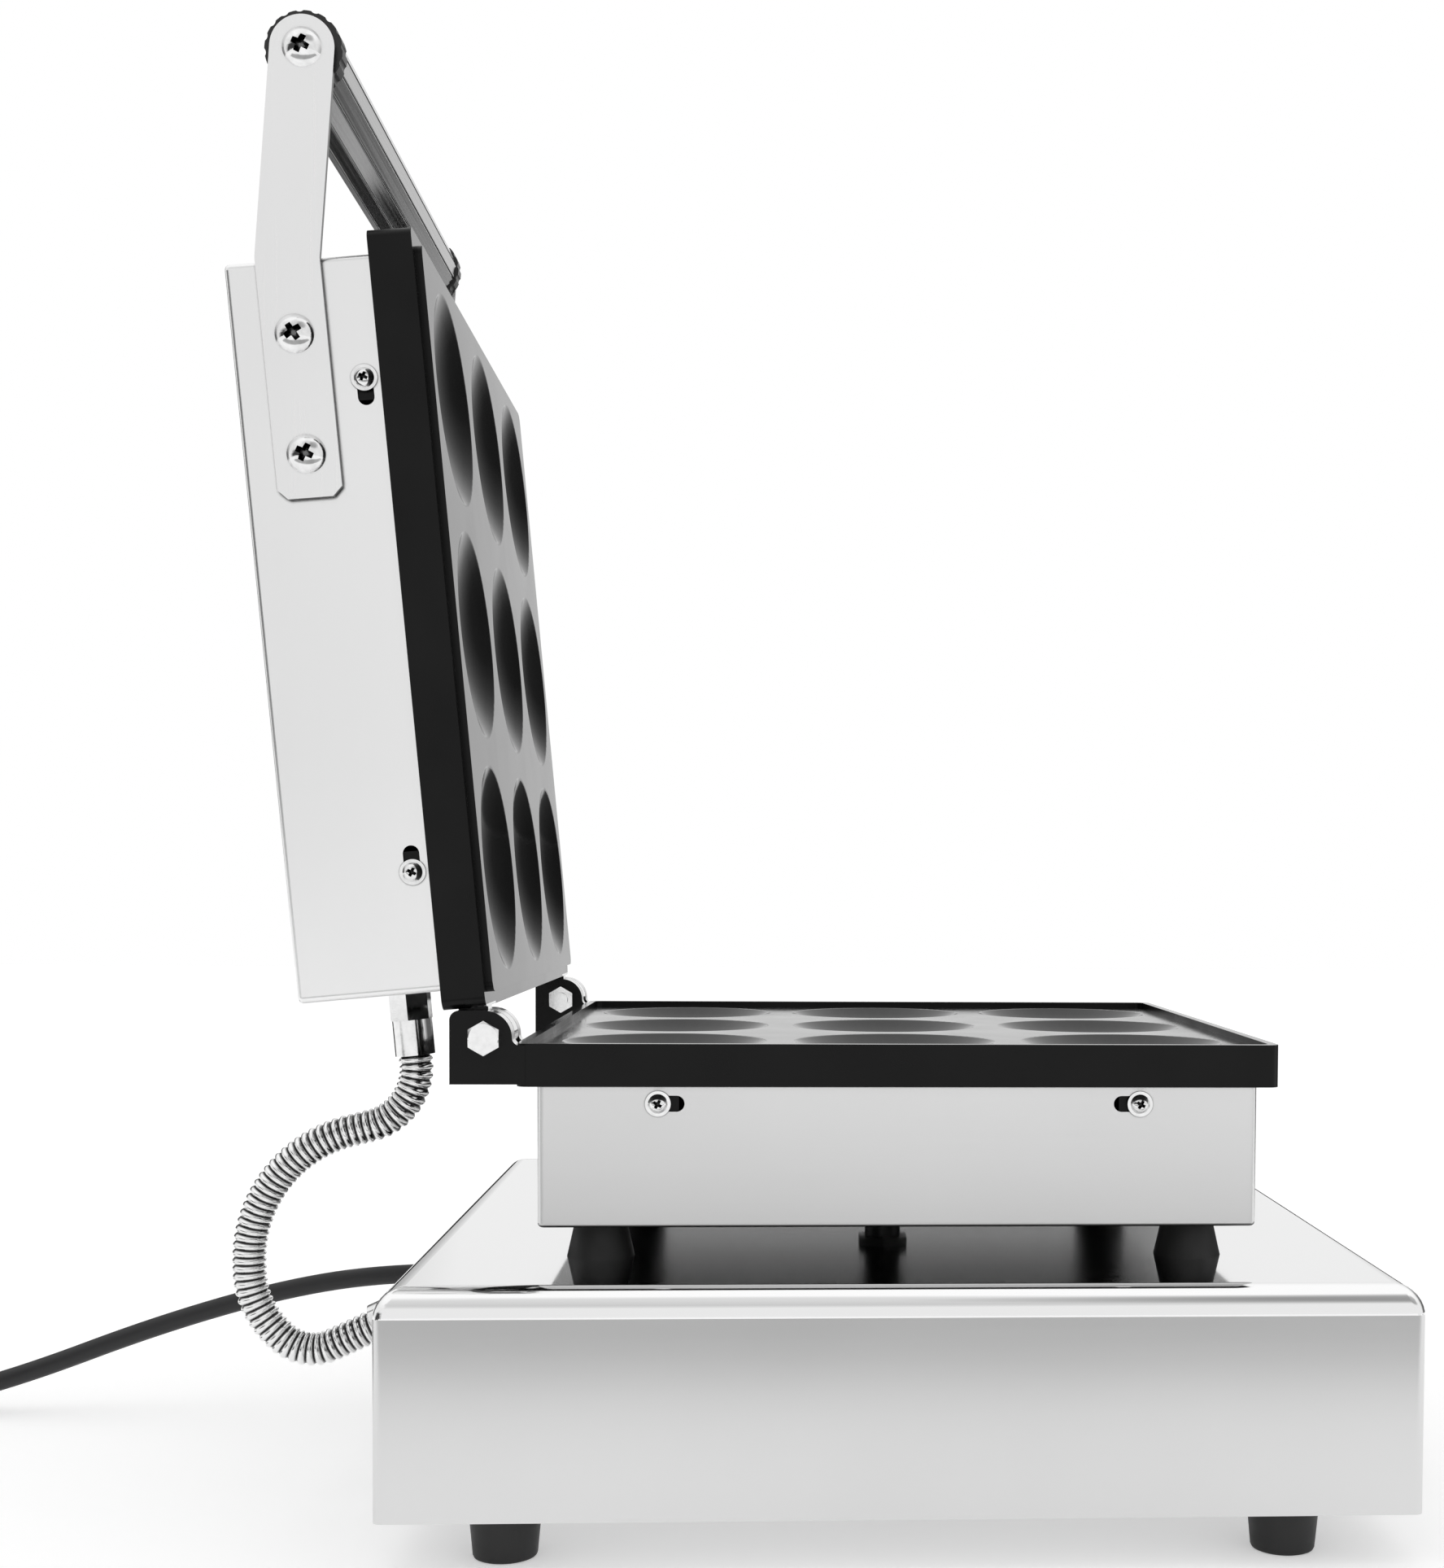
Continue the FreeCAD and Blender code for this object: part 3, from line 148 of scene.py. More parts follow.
def mottle(tree, shader, value, dark, light):
    """Colours the shader from dark to light as the value rises."""
    blend = tree.nodes.new("ShaderNodeMix")
    blend.data_type = "RGBA"
    blend.inputs["A"].default_value = (*dark, 1)
    blend.inputs["B"].default_value = (*light, 1)
    tree.links.new(value, blend.inputs["Factor"])
    tree.links.new(blend.outputs["Result"], shader.inputs["Base Color"])
    return blend


def relief(tree, shader, value, depth, strength=0.5):
    """Fine relief on the surface, so many metres deep."""
    bump = tree.nodes.new("ShaderNodeBump")
    bump.inputs["Strength"].default_value = strength
    bump.inputs["Distance"].default_value = depth
    tree.links.new(value, bump.inputs["Height"])
    tree.links.new(bump.outputs["Normal"], shader.inputs["Normal"])


def lead_rubber():
    made, tree, shader = new_finish("lead_rubber", (0.012, 0.012, 0.013), 0.5)
    scuff = speckle(tree, (60, 60, 60), 4)
    grit = speckle(tree, (1800, 1800, 1800), 2)
    mottle(tree, shader, between(tree, scuff, 0, 1), (0.006, 0.006, 0.007), (0.015, 0.015, 0.016))
    tree.links.new(between(tree, scuff, 0.42, 0.62), shader.inputs["Roughness"])
    relief(tree, shader, grit, 0.00005)
    return made


def open_spline(name, points):
    """Smooth line that starts and ends on its outer points."""
    line = bpy.data.curves.new(name, "CURVE")
    line.dimensions = "3D"
    spline = line.splines.new("NURBS")
    spline.points.add(len(points) - 1)
    for knot, at in zip(spline.points, points):
        knot.co = (*at, 1)
    spline.order_u = 3
    spline.use_endpoint_u = True
    spline.resolution_u = 8
    return line


coil_outer_r = coil_mid_r + coil_pitch * coil_turns_in / 2
coil_centre = Vector((lead_x - coil_outer_r, lead_points[-1][0], 0))
coil_turns = 2 * coil_turns_in + coil_turns_climb
coil_floor = lead_points[-1][1]
spread_out = 2 / (1 + math.cos(math.pi / coil_points_per_turn))
lead_route = [Vector((lead_x, y, z)) for y, z in lead_points]
for i in range(1, round(coil_turns * coil_points_per_turn) + 1):
    turned = i / coil_points_per_turn
    climbed = min(max((turned - coil_turns_in) / coil_turns_climb, 0), 1)
    inward = min(turned, coil_turns_in)
    outward = max(turned - coil_turns_in - coil_turns_climb, 0)
    dip = coil_dip * math.sin(math.pi * climbed)
    r = (coil_outer_r - coil_pitch * (inward - outward) - dip) * spread_out
    angle = 2 * math.pi * turned
    height = coil_floor + coil_pitch * climbed * climbed * (3 - 2 * climbed)
    lead_route.append(coil_centre + Vector((math.cos(angle) * r, math.sin(angle) * r, height)))
coil_end = lead_route[-1]
lead_route += [coil_end + Vector((0, coil_tail * share, 0)) for share in coil_tail_shares]
lead_line = open_spline("mains_lead", lead_route)
lead_line.bevel_depth = lead_d / 2
lead_line.bevel_resolution = 6
lead_line.use_fill_caps = True
lead_line.materials.append(lead_rubber())
lead = bpy.data.objects.new("mains_lead", lead_line)
scene.collection.objects.link(lead)
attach(lead, "base")
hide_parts("mains_cord", "mains_cord_coil")

# Coil tie
# Nylon strap pulled round the coil's four strands where they lie two on two, with its lock on the
# outer side. It is thin underneath, where the coil lies on it.
tie_w = 0.0045
tie_t = 0.0011
tie_inner_r = 0.0429
tie_outer_r = 0.0645
tie_floor = 0.00004
tie_under = 0.00027
tie_top = 0.0213
tie_corner = 0.0050
tie_edge_r = 0.0002
tie_lock = (0.0042, 0.0058, 0.0060)


def as_piece(name, shape, finish, body, smooth=True):
    """A finished mesh as an object that rides on a body."""
    bmesh.ops.recalc_face_normals(shape, faces=shape.faces)
    mesh = bpy.data.meshes.new(name)
    shape.to_mesh(mesh)
    shape.free()
    mesh.materials.append(finish)
    for face in mesh.polygons:
        face.use_smooth = smooth
    made = bpy.data.objects.new(name, mesh)
    scene.collection.objects.link(made)
    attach(made, body)
    return made


def skin(shape, loops, closed=False, capped=True):
    """Faces between neighbouring loops of points, as the loops follow each other."""
    rows = [[shape.verts.new(p) for p in loop] for loop in loops]
    pairs = list(zip(rows, rows[1:]))
    if closed:
        pairs.append((rows[-1], rows[0]))
    for lower, upper in pairs:
        for j in range(len(lower)):
            k = (j + 1) % len(lower)
            shape.faces.new((lower[j], lower[k], upper[k], upper[j]))
    if capped and not closed:
        shape.faces.new(list(reversed(rows[0])))
        shape.faces.new(rows[-1])


def moulded_black(name, colour=(0.012, 0.012, 0.013), rough=0.45):
    """Black plastic or rubber with the fine pebble of its mould and some wear."""
    made, tree, shader = new_finish(name, colour, rough)
    pebble = speckle(tree, (1400, 1400, 1400), 1)
    wear = speckle(tree, (45, 45, 45), 3)
    light = [c * 1.6 for c in colour]
    mottle(tree, shader, between(tree, wear, 0, 1), colour, light)
    tree.links.new(between(tree, wear, rough - 0.07, rough + 0.1), shader.inputs["Roughness"])
    relief(tree, shader, pebble, 0.00006)
    return made


def round_rectangle(x0, x1, z0, z1, corner, steps=6):
    """Points round a rectangle with round corners."""
    points = []
    mids = [(x1 - corner, z1 - corner, 0), (x0 + corner, z1 - corner, 90),
            (x0 + corner, z0 + corner, 180), (x1 - corner, z0 + corner, 270)]
    for cx, cz, start in mids:
        for i in range(steps + 1):
            a = math.radians(start + 90 * i / steps)
            points.append((cx + corner * math.cos(a), cz + corner * math.sin(a)))
    return points


strap = bmesh.new()
inside = round_rectangle(tie_inner_r, tie_outer_r, tie_under, tie_top, tie_corner)
outside = round_rectangle(tie_inner_r - tie_t, tie_outer_r + tie_t, tie_floor, tie_top + tie_t,
                          tie_corner)
strap_loops = []
for outline, side in ((inside, -1), (outside, -1), (outside, 1), (inside, 1)):
    y = side * tie_w / 2
    strap_loops.append([coil_centre + Vector((-r, y, z)) for r, z in outline])
skin(strap, strap_loops, closed=True)
lock_at = coil_centre + Vector((-tie_outer_r - tie_t - tie_lock[0] / 2, 0, tie_top / 2))
lock_place = Matrix.Translation(lock_at) @ Matrix.Diagonal((*tie_lock, 1))
bmesh.ops.create_cube(strap, size=1.0, matrix=lock_place)
tie = as_piece("coil_tie", strap, moulded_black("tie_nylon"), "base", smooth=False)
tie_edge = tie.modifiers.new("edge", "BEVEL")
tie_edge.width = tie_edge_r
tie_edge.segments = 2
tie_edge.limit_method = "ANGLE"

# Plug
# Three-pin plug moulded on the lead's end, lying beside the coil: a ribbed rubber sleeve over the
# lead, a body that swells to its face, two flat plated blades and a round earth pin.
plug_gap = 0.0001
plug_at = coil_end + Vector((0, coil_tail + plug_gap, 0))
plug_sleeve_l = 0.024
plug_sleeve_r = 0.0056
plug_sleeve_flare = 0.0016
plug_sleeve_groove = 0.0005
plug_sleeve_steps = 25
# Each section: its place along the plug, half its width and height, and how square it is.
plug_sections = [
    (0.000, 0.0072, 0.0072, 2.0), (0.003, 0.0085, 0.0085, 2.2), (0.007, 0.0098, 0.0105, 2.6),
    (0.012, 0.0112, 0.0124, 3.0), (0.014, 0.0106, 0.0129, 3.2), (0.016, 0.0117, 0.0134, 3.4),
    (0.018, 0.0110, 0.0137, 3.6), (0.020, 0.0121, 0.0139, 3.8), (0.022, 0.0114, 0.0141, 4.0),
    (0.024, 0.0126, 0.0142, 4.2), (0.029, 0.0133, 0.0143, 4.6), (0.0334, 0.0133, 0.0143, 4.8),
    (0.0340, 0.0127, 0.0137, 4.8)]
plug_sides = 40
pin_seat = 0.001
blade_w = 0.0015
blade_h = 0.00635
blade_l = 0.017
blade_apart = 0.0127
blade_tip_l = 0.001
blade_tip_share = 0.5
blade_tip_inset = 0.0012
earth_pin_r = 0.0024
earth_pin_drop = 0.0086
earth_pin_l = 0.020
earth_pin_sides = 20
# The earth pin's rounded tip: each ring's distance back from the end, and its share of the radius.
earth_pin_tip = ((0.0012, 1.0), (0.0004, 0.86), (0.0, 0.5))


def plug_loop(y, half_w, half_h, square):
    """Points round a section of the plug."""
    loop = []
    for i in range(plug_sides):
        a = 2 * math.pi * i / plug_sides
        c, s = math.cos(a), math.sin(a)
        grow = (abs(c) ** square + abs(s) ** square) ** (-1 / square)
        loop.append(plug_at + Vector((c * grow * half_w, y, s * grow * half_h)))
    return loop


def plated_metal(name, dark, light, rough):
    """Bright plating, with painted shade that darkens it to near black in its recesses."""
    made, tree, shader = new_finish(name, (light, light, light), rough, 1.0)
    smear = speckle(tree, (300, 300, 300), 3)
    # Painted shade: the colour goes to near black where the occlusion probe finds a recess.
    recess_shade_probe = tree.nodes.new("ShaderNodeAmbientOcclusion")
    recess_shade_probe.inputs["Distance"].default_value = 0.004
    recess_shade_probe.only_local = True
    tint = mottle(tree, shader, between(tree, smear, 0, 1), [dark] * 3, [light] * 3)
    painted_recess_shade = tree.nodes.new("ShaderNodeMix")
    painted_recess_shade.data_type = "RGBA"
    painted_recess_shade.inputs["A"].default_value = (0.006, 0.006, 0.006, 1)
    tree.links.new(between(tree, recess_shade_probe.outputs["AO"], 0, 1, 0.55, 0.86), painted_recess_shade.inputs["Factor"])
    tree.links.new(tint.outputs["Result"], painted_recess_shade.inputs["B"])
    tree.links.new(painted_recess_shade.outputs["Result"], shader.inputs["Base Color"])
    tree.links.new(between(tree, smear, rough * 0.7, rough * 1.5), shader.inputs["Roughness"])
    relief(tree, shader, speckle(tree, (1200, 1200, 1200), 2), 0.00002)
    return made


plug_shape = bmesh.new()
sleeve_loops = []
for i in range(plug_sleeve_steps):
    y = -plug_sleeve_l * (1 - i / plug_sleeve_steps)
    groove = plug_sleeve_groove if i % 4 in (1, 2) else 0
    ring_r = plug_sleeve_r + plug_sleeve_flare * i / plug_sleeve_steps - groove
    sleeve_loops.append(plug_loop(y, ring_r, ring_r, 2.0))
skin(plug_shape, sleeve_loops + [plug_loop(*section) for section in plug_sections])
plug = as_piece("plug_body", plug_shape, moulded_black("plug_rubber"), "base")
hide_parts("mains_plug")

pin_shape = bmesh.new()
pin_y = plug_sections[-1][0] - pin_seat
blade_steps = ((pin_y, 1, 0), (pin_y + blade_l, 1, 0),
               (pin_y + blade_l + blade_tip_l, blade_tip_share, blade_tip_inset))
for side in (-1, 1):
    x = side * blade_apart / 2
    blade_loops = []
    for y, thin, low in blade_steps:
        w = blade_w / 2 * thin
        corners = [(x - w, low), (x + w, low), (x + w, blade_h - low), (x - w, blade_h - low)]
        blade_loops.append([plug_at + Vector((cx, y, cz)) for cx, cz in corners])
    skin(pin_shape, blade_loops)
pin_steps = [(pin_y, 1.0)] + [(pin_y + earth_pin_l - back, share) for back, share in earth_pin_tip]
pin_loops = []
for y, share in pin_steps:
    pin_loops.append([])
    for i in range(earth_pin_sides):
        a = 2 * math.pi * i / earth_pin_sides
        spot = Vector((math.cos(a), 0, math.sin(a))) * earth_pin_r * share
        pin_loops[-1].append(plug_at + spot + Vector((0, y, -earth_pin_drop)))
skin(pin_shape, pin_loops)
pin_nickel = plated_metal("pin_nickel", 0.60, 0.74, 0.2)
pins = as_piece("plug_pins", pin_shape, pin_nickel, "base", smooth=False)
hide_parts("mains_plug")

# Lead's sleeve in the rear wall
# Black nylon gland through the base's rear wall, held by a nut inside. Its tapered sleeve has soft
# moulded rings, so that the lead bends gently where it leaves.
sleeve_start = 0.18947
sleeve_rings = (0.010, 0.014, 0.018, 0.022)
sleeve_cone = ((0.006, 0.0105), (0.026, 0.0070))
ring_half_l = 0.0011
ring_proud = 0.0006
ring_sides = 32
# A ring's outline, in shares of its half length and of its rise. Its feet lie just under the skin.
ring_outline = ((-1, -0.0004), (-0.7, 0.6), (-0.3, 1), (0.3, 1), (0.7, 0.6), (1, -0.0004), (1, -1),
                (-1, -1))


def dress(finish, *names):
    """Gives CAD nodes their finish."""
    for name in names:
        nodes[name].data.materials.clear()
        nodes[name].data.materials.append(finish)


ring_shape = bmesh.new()
(cone_from, cone_from_r), (cone_to, cone_to_r) = sleeve_cone
lead_z = lead_points[0][1]
for middle in sleeve_rings:
    profile = []
    for step, rise in ring_outline:
        along = middle + step * ring_half_l
        share = (along - cone_from) / (cone_to - cone_from)
        cone_r = cone_from_r + (cone_to_r - cone_from_r) * share
        profile.append((sleeve_start + along, cone_r + rise * ring_proud))
    loops = []
    for i in range(ring_sides):
        a = 2 * math.pi * i / ring_sides
        c, s = math.cos(a), math.sin(a)
        loops.append([Vector((lead_x + r * c, y, lead_z + r * s)) for y, r in profile])
    skin(ring_shape, loops, closed=True)
as_piece("sleeve_rings", ring_shape, moulded_black("sleeve_nylon"), "base")
dress(moulded_black("gland_nylon"), "cord_gland", "cord_gland_nut")


# Base
# Box folded from stainless sheet, polished on top and round the bends and satin on its sides. A
# vented plate closes it below.
def stainless(name, shade, along, rough, polished=None, painted_shade_way=None):
    """Brushed along one axis, with painted shade in its creases. Polished gives the faces that look
    up a smoother roughness and a painted lighter shade; painted_shade_way is the way of faces
    painted as shade."""
    made, tree, shader = new_finish(name, (shade, shade, shade), rough, 1.0)
    brush = speckle(tree, along, 3)
    cloud = speckle(tree, (5, 5, 5), 3)
    cloudy = mottle(tree, shader, between(tree, cloud, 0, 1), [shade * 0.97] * 3,
                    [min(shade * 1.03, 1)] * 3)
    # Painted shade: the colour goes to dark grey in creases and beside the parts on it, where the
    # occlusion probe finds them closed in.
    crease_shade_probe = tree.nodes.new("ShaderNodeAmbientOcclusion")
    crease_shade_probe.inputs["Distance"].default_value = 0.0022
    crease_shade_probe.samples = 6
    tint = tree.nodes.new("ShaderNodeMix")
    tint.data_type = "RGBA"
    tint.inputs["A"].default_value = (0.05, 0.05, 0.05, 1)
    tree.links.new(between(tree, crease_shade_probe.outputs["AO"], 0, 1, 0.5, 0.78), tint.inputs["Factor"])
    tree.links.new(cloudy.outputs["Result"], tint.inputs["B"])
    tree.links.new(tint.outputs["Result"], shader.inputs["Base Color"])
    side = between(tree, brush, rough * 0.97, rough * 1.03)
    if polished is None:
        tree.links.new(side, shader.inputs["Roughness"])
    else:
        bright, smooth = polished
        where = tree.nodes.new("ShaderNodeTexCoord")
        split = tree.nodes.new("ShaderNodeSeparateXYZ")
        tree.links.new(where.outputs["Normal"], split.inputs["Vector"])
        facing_up = between(tree, split.outputs["Z"], 0, 1, 0.03, 0.08)
        pick = tree.nodes.new("ShaderNodeMix")
        tree.links.new(facing_up, pick.inputs["Factor"])
        tree.links.new(side, pick.inputs["A"])
        tree.links.new(between(tree, brush, smooth * 0.8, smooth * 1.2), pick.inputs["B"])
        tree.links.new(pick.outputs["Result"], shader.inputs["Roughness"])
        # Painted light: faces that look up take a lighter shade than the sides of the same steel.
        lit_top_colour = tree.nodes.new("ShaderNodeMix")
        lit_top_colour.data_type = "RGBA"
        lit_top_colour.inputs["B"].default_value = (bright, bright, bright, 1)
        tree.links.new(facing_up, lit_top_colour.inputs["Factor"])
        tree.links.new(tint.outputs["Result"], lit_top_colour.inputs["A"])
        tree.links.new(lit_top_colour.outputs["Result"], shader.inputs["Base Color"])
    # Painted shade: faces that look along painted_shade_way are painted dark grey, as the shade
    # under the lower housing and along the arms' lower and front edges.
    if painted_shade_way is not None:
        where = tree.nodes.new("ShaderNodeTexCoord")
        toward = tree.nodes.new("ShaderNodeVectorMath")
        toward.operation = "DOT_PRODUCT"
        toward.inputs[1].default_value = painted_shade_way
        tree.links.new(where.outputs["Normal"], toward.inputs[0])
        shaded_faces = tree.nodes.new("ShaderNodeMix")
        shaded_faces.data_type = "RGBA"
        shaded_faces.inputs["B"].default_value = (0.10, 0.10, 0.10, 1)
        shade_facing = between(tree, toward.outputs["Value"], 0, 1, 0.3, 0.5)
        tree.links.new(shade_facing, shaded_faces.inputs["Factor"])
        tree.links.new(tint.outputs["Result"], shaded_faces.inputs["A"])
        tree.links.new(shaded_faces.outputs["Result"], shader.inputs["Base Color"])
    relief(tree, shader, brush, 0.000002, 0.08)
    return made


# The base's top and bends are polished smoother and painted lighter than its sides, as painted
# light.
dress(stainless("polished_base", 0.70, (900, 5, 900), 0.22, (0.88, 0.07)), "base_shell")
dress(stainless("base_underside", 0.66, (700, 7, 700), 0.38), "base_bottom_plate")

# Feet and legs
# Tapered black rubber feet under the base, and cone-shaped rubber legs between the base and the
# lower baking unit, each held by a screw and nut through its middle.
weld_reach = 0.000002
sharp_angle = math.radians(50)


def black_rubber():
    made, tree, shader = new_finish("black_rubber", (0.008, 0.008, 0.008), 0.55)
    dust = speckle(tree, (70, 70, 70), 4)
    mottle(tree, shader, between(tree, dust, 0, 1), (0.004, 0.004, 0.004), (0.011, 0.011, 0.011))
    tree.links.new(between(tree, dust, 0.45, 0.65), shader.inputs["Roughness"])
    relief(tree, shader, speckle(tree, (1500, 1500, 1500), 2), 0.00005)
    return made


def soften(width, *names):
    """Rounds the sharp edges of a made piece by a little."""
    for name in names:
        weld = nodes[name].modifiers.new("weld", "WELD")
        weld.merge_threshold = weld_reach
        edge = nodes[name].modifiers.new("edge", "BEVEL")
        edge.width = width
        edge.segments = 2
        edge.limit_method = "ANGLE"
        edge.angle_limit = sharp_angle
        even = nodes[name].modifiers.new("even", "WEIGHTED_NORMAL")
        even.weight = 60


plating = plated_metal("bright_plating", 0.74, 0.88, 0.11)
dress(black_rubber(), "base_feet", "unit_legs")
soften(0.0014, "base_feet")
dress(plating, "foot_screws", "foot_nuts", "leg_bolts", "leg_nuts")


# Wire tube between base and lower unit
# Threaded black tube that takes the heater's wires from the base up into the lower unit. A locknut
# on each side of both sheets holds it.
def painted_thread():
    made, tree, shader = new_finish("painted_thread", (0.010, 0.010, 0.010), 0.4, 0.3)
    worn = between(tree, speckle(tree, (200, 200, 200), 3), 0.3, 0.55)
    tree.links.new(worn, shader.inputs["Roughness"])
    relief(tree, shader, speckle(tree, (40, 40, 1000), 1), 0.0002)
    return made


dress(painted_thread(), "wire_conduit", "conduit_locknuts")

# Mould plates
# Cast aluminium plates with a black non-stick coating and a grid of nine dishes in each. The round
# tops of the hinge ears are machined and show bare metal.
pivot_y = 0.149470
pivot_z = 0.217
ear_inner_x = 0.1345
bare_r = 0.0142
lid_lean = math.radians(5.4)
lid_way = (0, -math.cos(lid_lean), math.sin(lid_lean))
cast_ior = 1.27
lower_face_ior = 1.34
upper_face_ior = 1.29


def coated_casting(name, face_way, face_ior):
    """Smooth where the face looks along face_way, as cast elsewhere. The index of refraction says
    how strongly the coating mirrors."""
    made, tree, shader = new_finish(name, (0.003, 0.003, 0.003), 0.3)
    pebble = speckle(tree, (1100, 1100, 1100), 2)
    cloud = speckle(tree, (28, 28, 28), 4)
    tint = mottle(tree, shader, between(tree, cloud, 0, 1), [0.002] * 3, [0.005] * 3)
    relief(tree, shader, pebble, 0.00002, 0.25)
    where = tree.nodes.new("ShaderNodeTexCoord")
    place = tree.nodes.new("ShaderNodeSeparateXYZ")
    facing = tree.nodes.new("ShaderNodeSeparateXYZ")
    tree.links.new(where.outputs["Object"], place.inputs["Vector"])
    tree.links.new(where.outputs["Normal"], facing.inputs["Vector"])

    def reckon(operation, *values):
        step = tree.nodes.new("ShaderNodeMath")
        step.operation = operation
        for socket, value in zip(step.inputs, values):
            if isinstance(value, float):
                socket.default_value = value
            else:
                tree.links.new(value, socket)
        return step.outputs["Value"]

    along = reckon("SUBTRACT", place.outputs["Y"], pivot_y)
    above = reckon("SUBTRACT", place.outputs["Z"], pivot_z)
    squares = (reckon("MULTIPLY", along, along), reckon("MULTIPLY", above, above))
    out = reckon("SQRT", reckon("ADD", *squares))
    on_ear = reckon("GREATER_THAN", reckon("ABSOLUTE", place.outputs["X"]), ear_inner_x)
    near = reckon("LESS_THAN", out, bare_r)
    edge_on = reckon("LESS_THAN", reckon("ABSOLUTE", facing.outputs["X"]), 0.5)
    bare = reckon("MULTIPLY", reckon("MULTIPLY", on_ear, near), edge_on)
    strip = tree.nodes.new("ShaderNodeMix")
    strip.data_type = "RGBA"
    strip.inputs["B"].default_value = (0.80, 0.80, 0.80, 1)
    tree.links.new(bare, strip.inputs["Factor"])
    tree.links.new(tint.outputs["Result"], strip.inputs["A"])
    tree.links.new(strip.outputs["Result"], shader.inputs["Base Color"])
    tree.links.new(bare, shader.inputs["Metallic"])
    face = tree.nodes.new("ShaderNodeVectorMath")
    face.operation = "DOT_PRODUCT"
    face.inputs[1].default_value = face_way
    tree.links.new(where.outputs["Normal"], face.inputs[0])
    moulding = between(tree, face.outputs["Value"], 0, 1, 0.5, 0.8)
    tree.links.new(between(tree, moulding, cast_ior, face_ior, 0, 1), shader.inputs["IOR"])
    rough = tree.nodes.new("ShaderNodeMix")
    tree.links.new(moulding, rough.inputs["Factor"])
    tree.links.new(between(tree, cloud, 0.26, 0.34), rough.inputs["A"])
    tree.links.new(between(tree, cloud, 0.09, 0.14), rough.inputs["B"])
    tree.links.new(rough.outputs["Result"], shader.inputs["Roughness"])
    return made


dress(coated_casting("lower_coating", (0, 0, 1), lower_face_ior), "lower_mould_plate")
dress(coated_casting("upper_coating", lid_way, upper_face_ior), "upper_mould_plate")
soften(0.0007, "lower_mould_plate", "upper_mould_plate")

# Housings
# Shallow boxes folded from satin stainless sheet, one behind each mould plate, round its heater and
# wool. Screws in slots at both sides hold them to the plates.
# Painted light and shade: the same satin steel is painted darker on the lower housing than on the
# lid's housing, and the lower housing's underside dark as shade.
dress(stainless("satin_lower_painted_darker", 0.72, (800, 6, 800), 0.26, painted_shade_way=(0, 0, -1)), "lower_housing")
dress(stainless("satin_upper_painted_lighter", 0.86, (800, 800, 6), 0.26), "upper_housing")
dress(plating, "lower_housing_screws", "lower_housing_washers", "upper_housing_screws",
      "upper_housing_washers")


# Heaters
# Sheathed heater rods, held against the plates by clamps and screws, with a bed of mineral wool
# behind each, and the thermostat's bulb.
def heat_dulled(name):
    made, tree, shader = new_finish(name, (0.30, 0.28, 0.26), 0.45, 1.0)
    stain = speckle(tree, (60, 60, 60), 4)
    mottle(tree, shader, between(tree, stain, 0, 1), (0.20, 0.18, 0.17), (0.40, 0.38, 0.35))
    tree.links.new(between(tree, stain, 0.35, 0.6), shader.inputs["Roughness"])
    relief(tree, shader, speckle(tree, (900, 900, 900), 2), 0.00004)
    return made


def wool_bed():
    made, tree, shader = new_finish("wool_bed", (0.62, 0.55, 0.36), 0.95)
    tuft = speckle(tree, (260, 260, 260), 6)
    mottle(tree, shader, between(tree, tuft, 0, 1), (0.48, 0.41, 0.25), (0.72, 0.65, 0.46))
    relief(tree, shader, tuft, 0.0012, 0.9)
    return made


dress(heat_dulled("heater_sheath"), "lower_heating_element", "upper_heating_element",
      "thermostat_bulb", "lower_element_clamps", "upper_element_clamps")
dress(plating, "lower_clamp_screws", "upper_clamp_screws")
dress(wool_bed(), "lower_insulation", "upper_insulation")

# Hinge
# Two plated hexagon bolts through the ears of both castings, each with a nut at its inner end. The
# lid turns on them.
dress(plating, "hinge_bolts", "hinge_nuts")


# Handle
# Satin steel arms screwed to the lid's housing, a drawn aluminium bar of flats and grooves between
# them, and black scalloped caps at its ends.
def anodised_bar():
    made, tree, shader = new_finish("anodised_bar", (0.40, 0.40, 0.40), 0.2, 1.0)
    drawn = speckle(tree, (4, 900, 900), 2)
    mottle(tree, shader, between(tree, drawn, 0, 1), (0.34, 0.34, 0.34), (0.46, 0.46, 0.46))
    tree.links.new(between(tree, drawn, 0.12, 0.20), shader.inputs["Roughness"])
    relief(tree, shader, drawn, 0.00001, 0.2)
    return made


# Painted light and shade: the arms' steel is painted as light as the lid's housing, and their lower
# and front edges dark.
satin_arm_painted_lighter = stainless("satin_arm_painted_lighter", 0.86, (800, 800, 8), 0.28, painted_shade_way=(0, -0.5, -0.9))
dress(satin_arm_painted_lighter, "handle_arm_left", "handle_arm_right")
dress(anodised_bar(), "handle_bar")
dress(moulded_black("cap_plastic", (0.006, 0.006, 0.006), 0.35), "handle_end_caps")
dress(plating, "arm_screws", "arm_nuts", "bar_screws")

# Hose fittings
# Plated metal fittings for the wire hose's ends: a hexagon gland and a plain ferrule at the lid's
# housing, and an angled fitting in the base's rear wall with a locknut inside.
dress(plating, "lid_hose_gland", "lid_hose_ferrule", "base_hose_elbow", "elbow_locknut")

# Wire hose between lid and base
# Corrugated bright steel hose round the lid heater's wires, pushed into a ferrule on the lid and an
# angled fitting on the base.
hose_x = -0.110
hose_corners = [(0.18882, 0.20826), (0.18602, 0.17859), (0.26337, 0.15930), (0.26287, 0.08850),
                (0.23767, 0.06790), (0.19902, 0.08571)]
hose_bend_r = (0.027, 0.060, 0.042, 0.0205)
hose_crest_r = 0.0075
hose_valley_r = 0.0062
hose_rib_pitch = 0.0034
hose_sides = 28
hose_rings_per_rib = 8
rib_flatness = 0.6
arc_step = 0.0015
arc_steps_least = 4


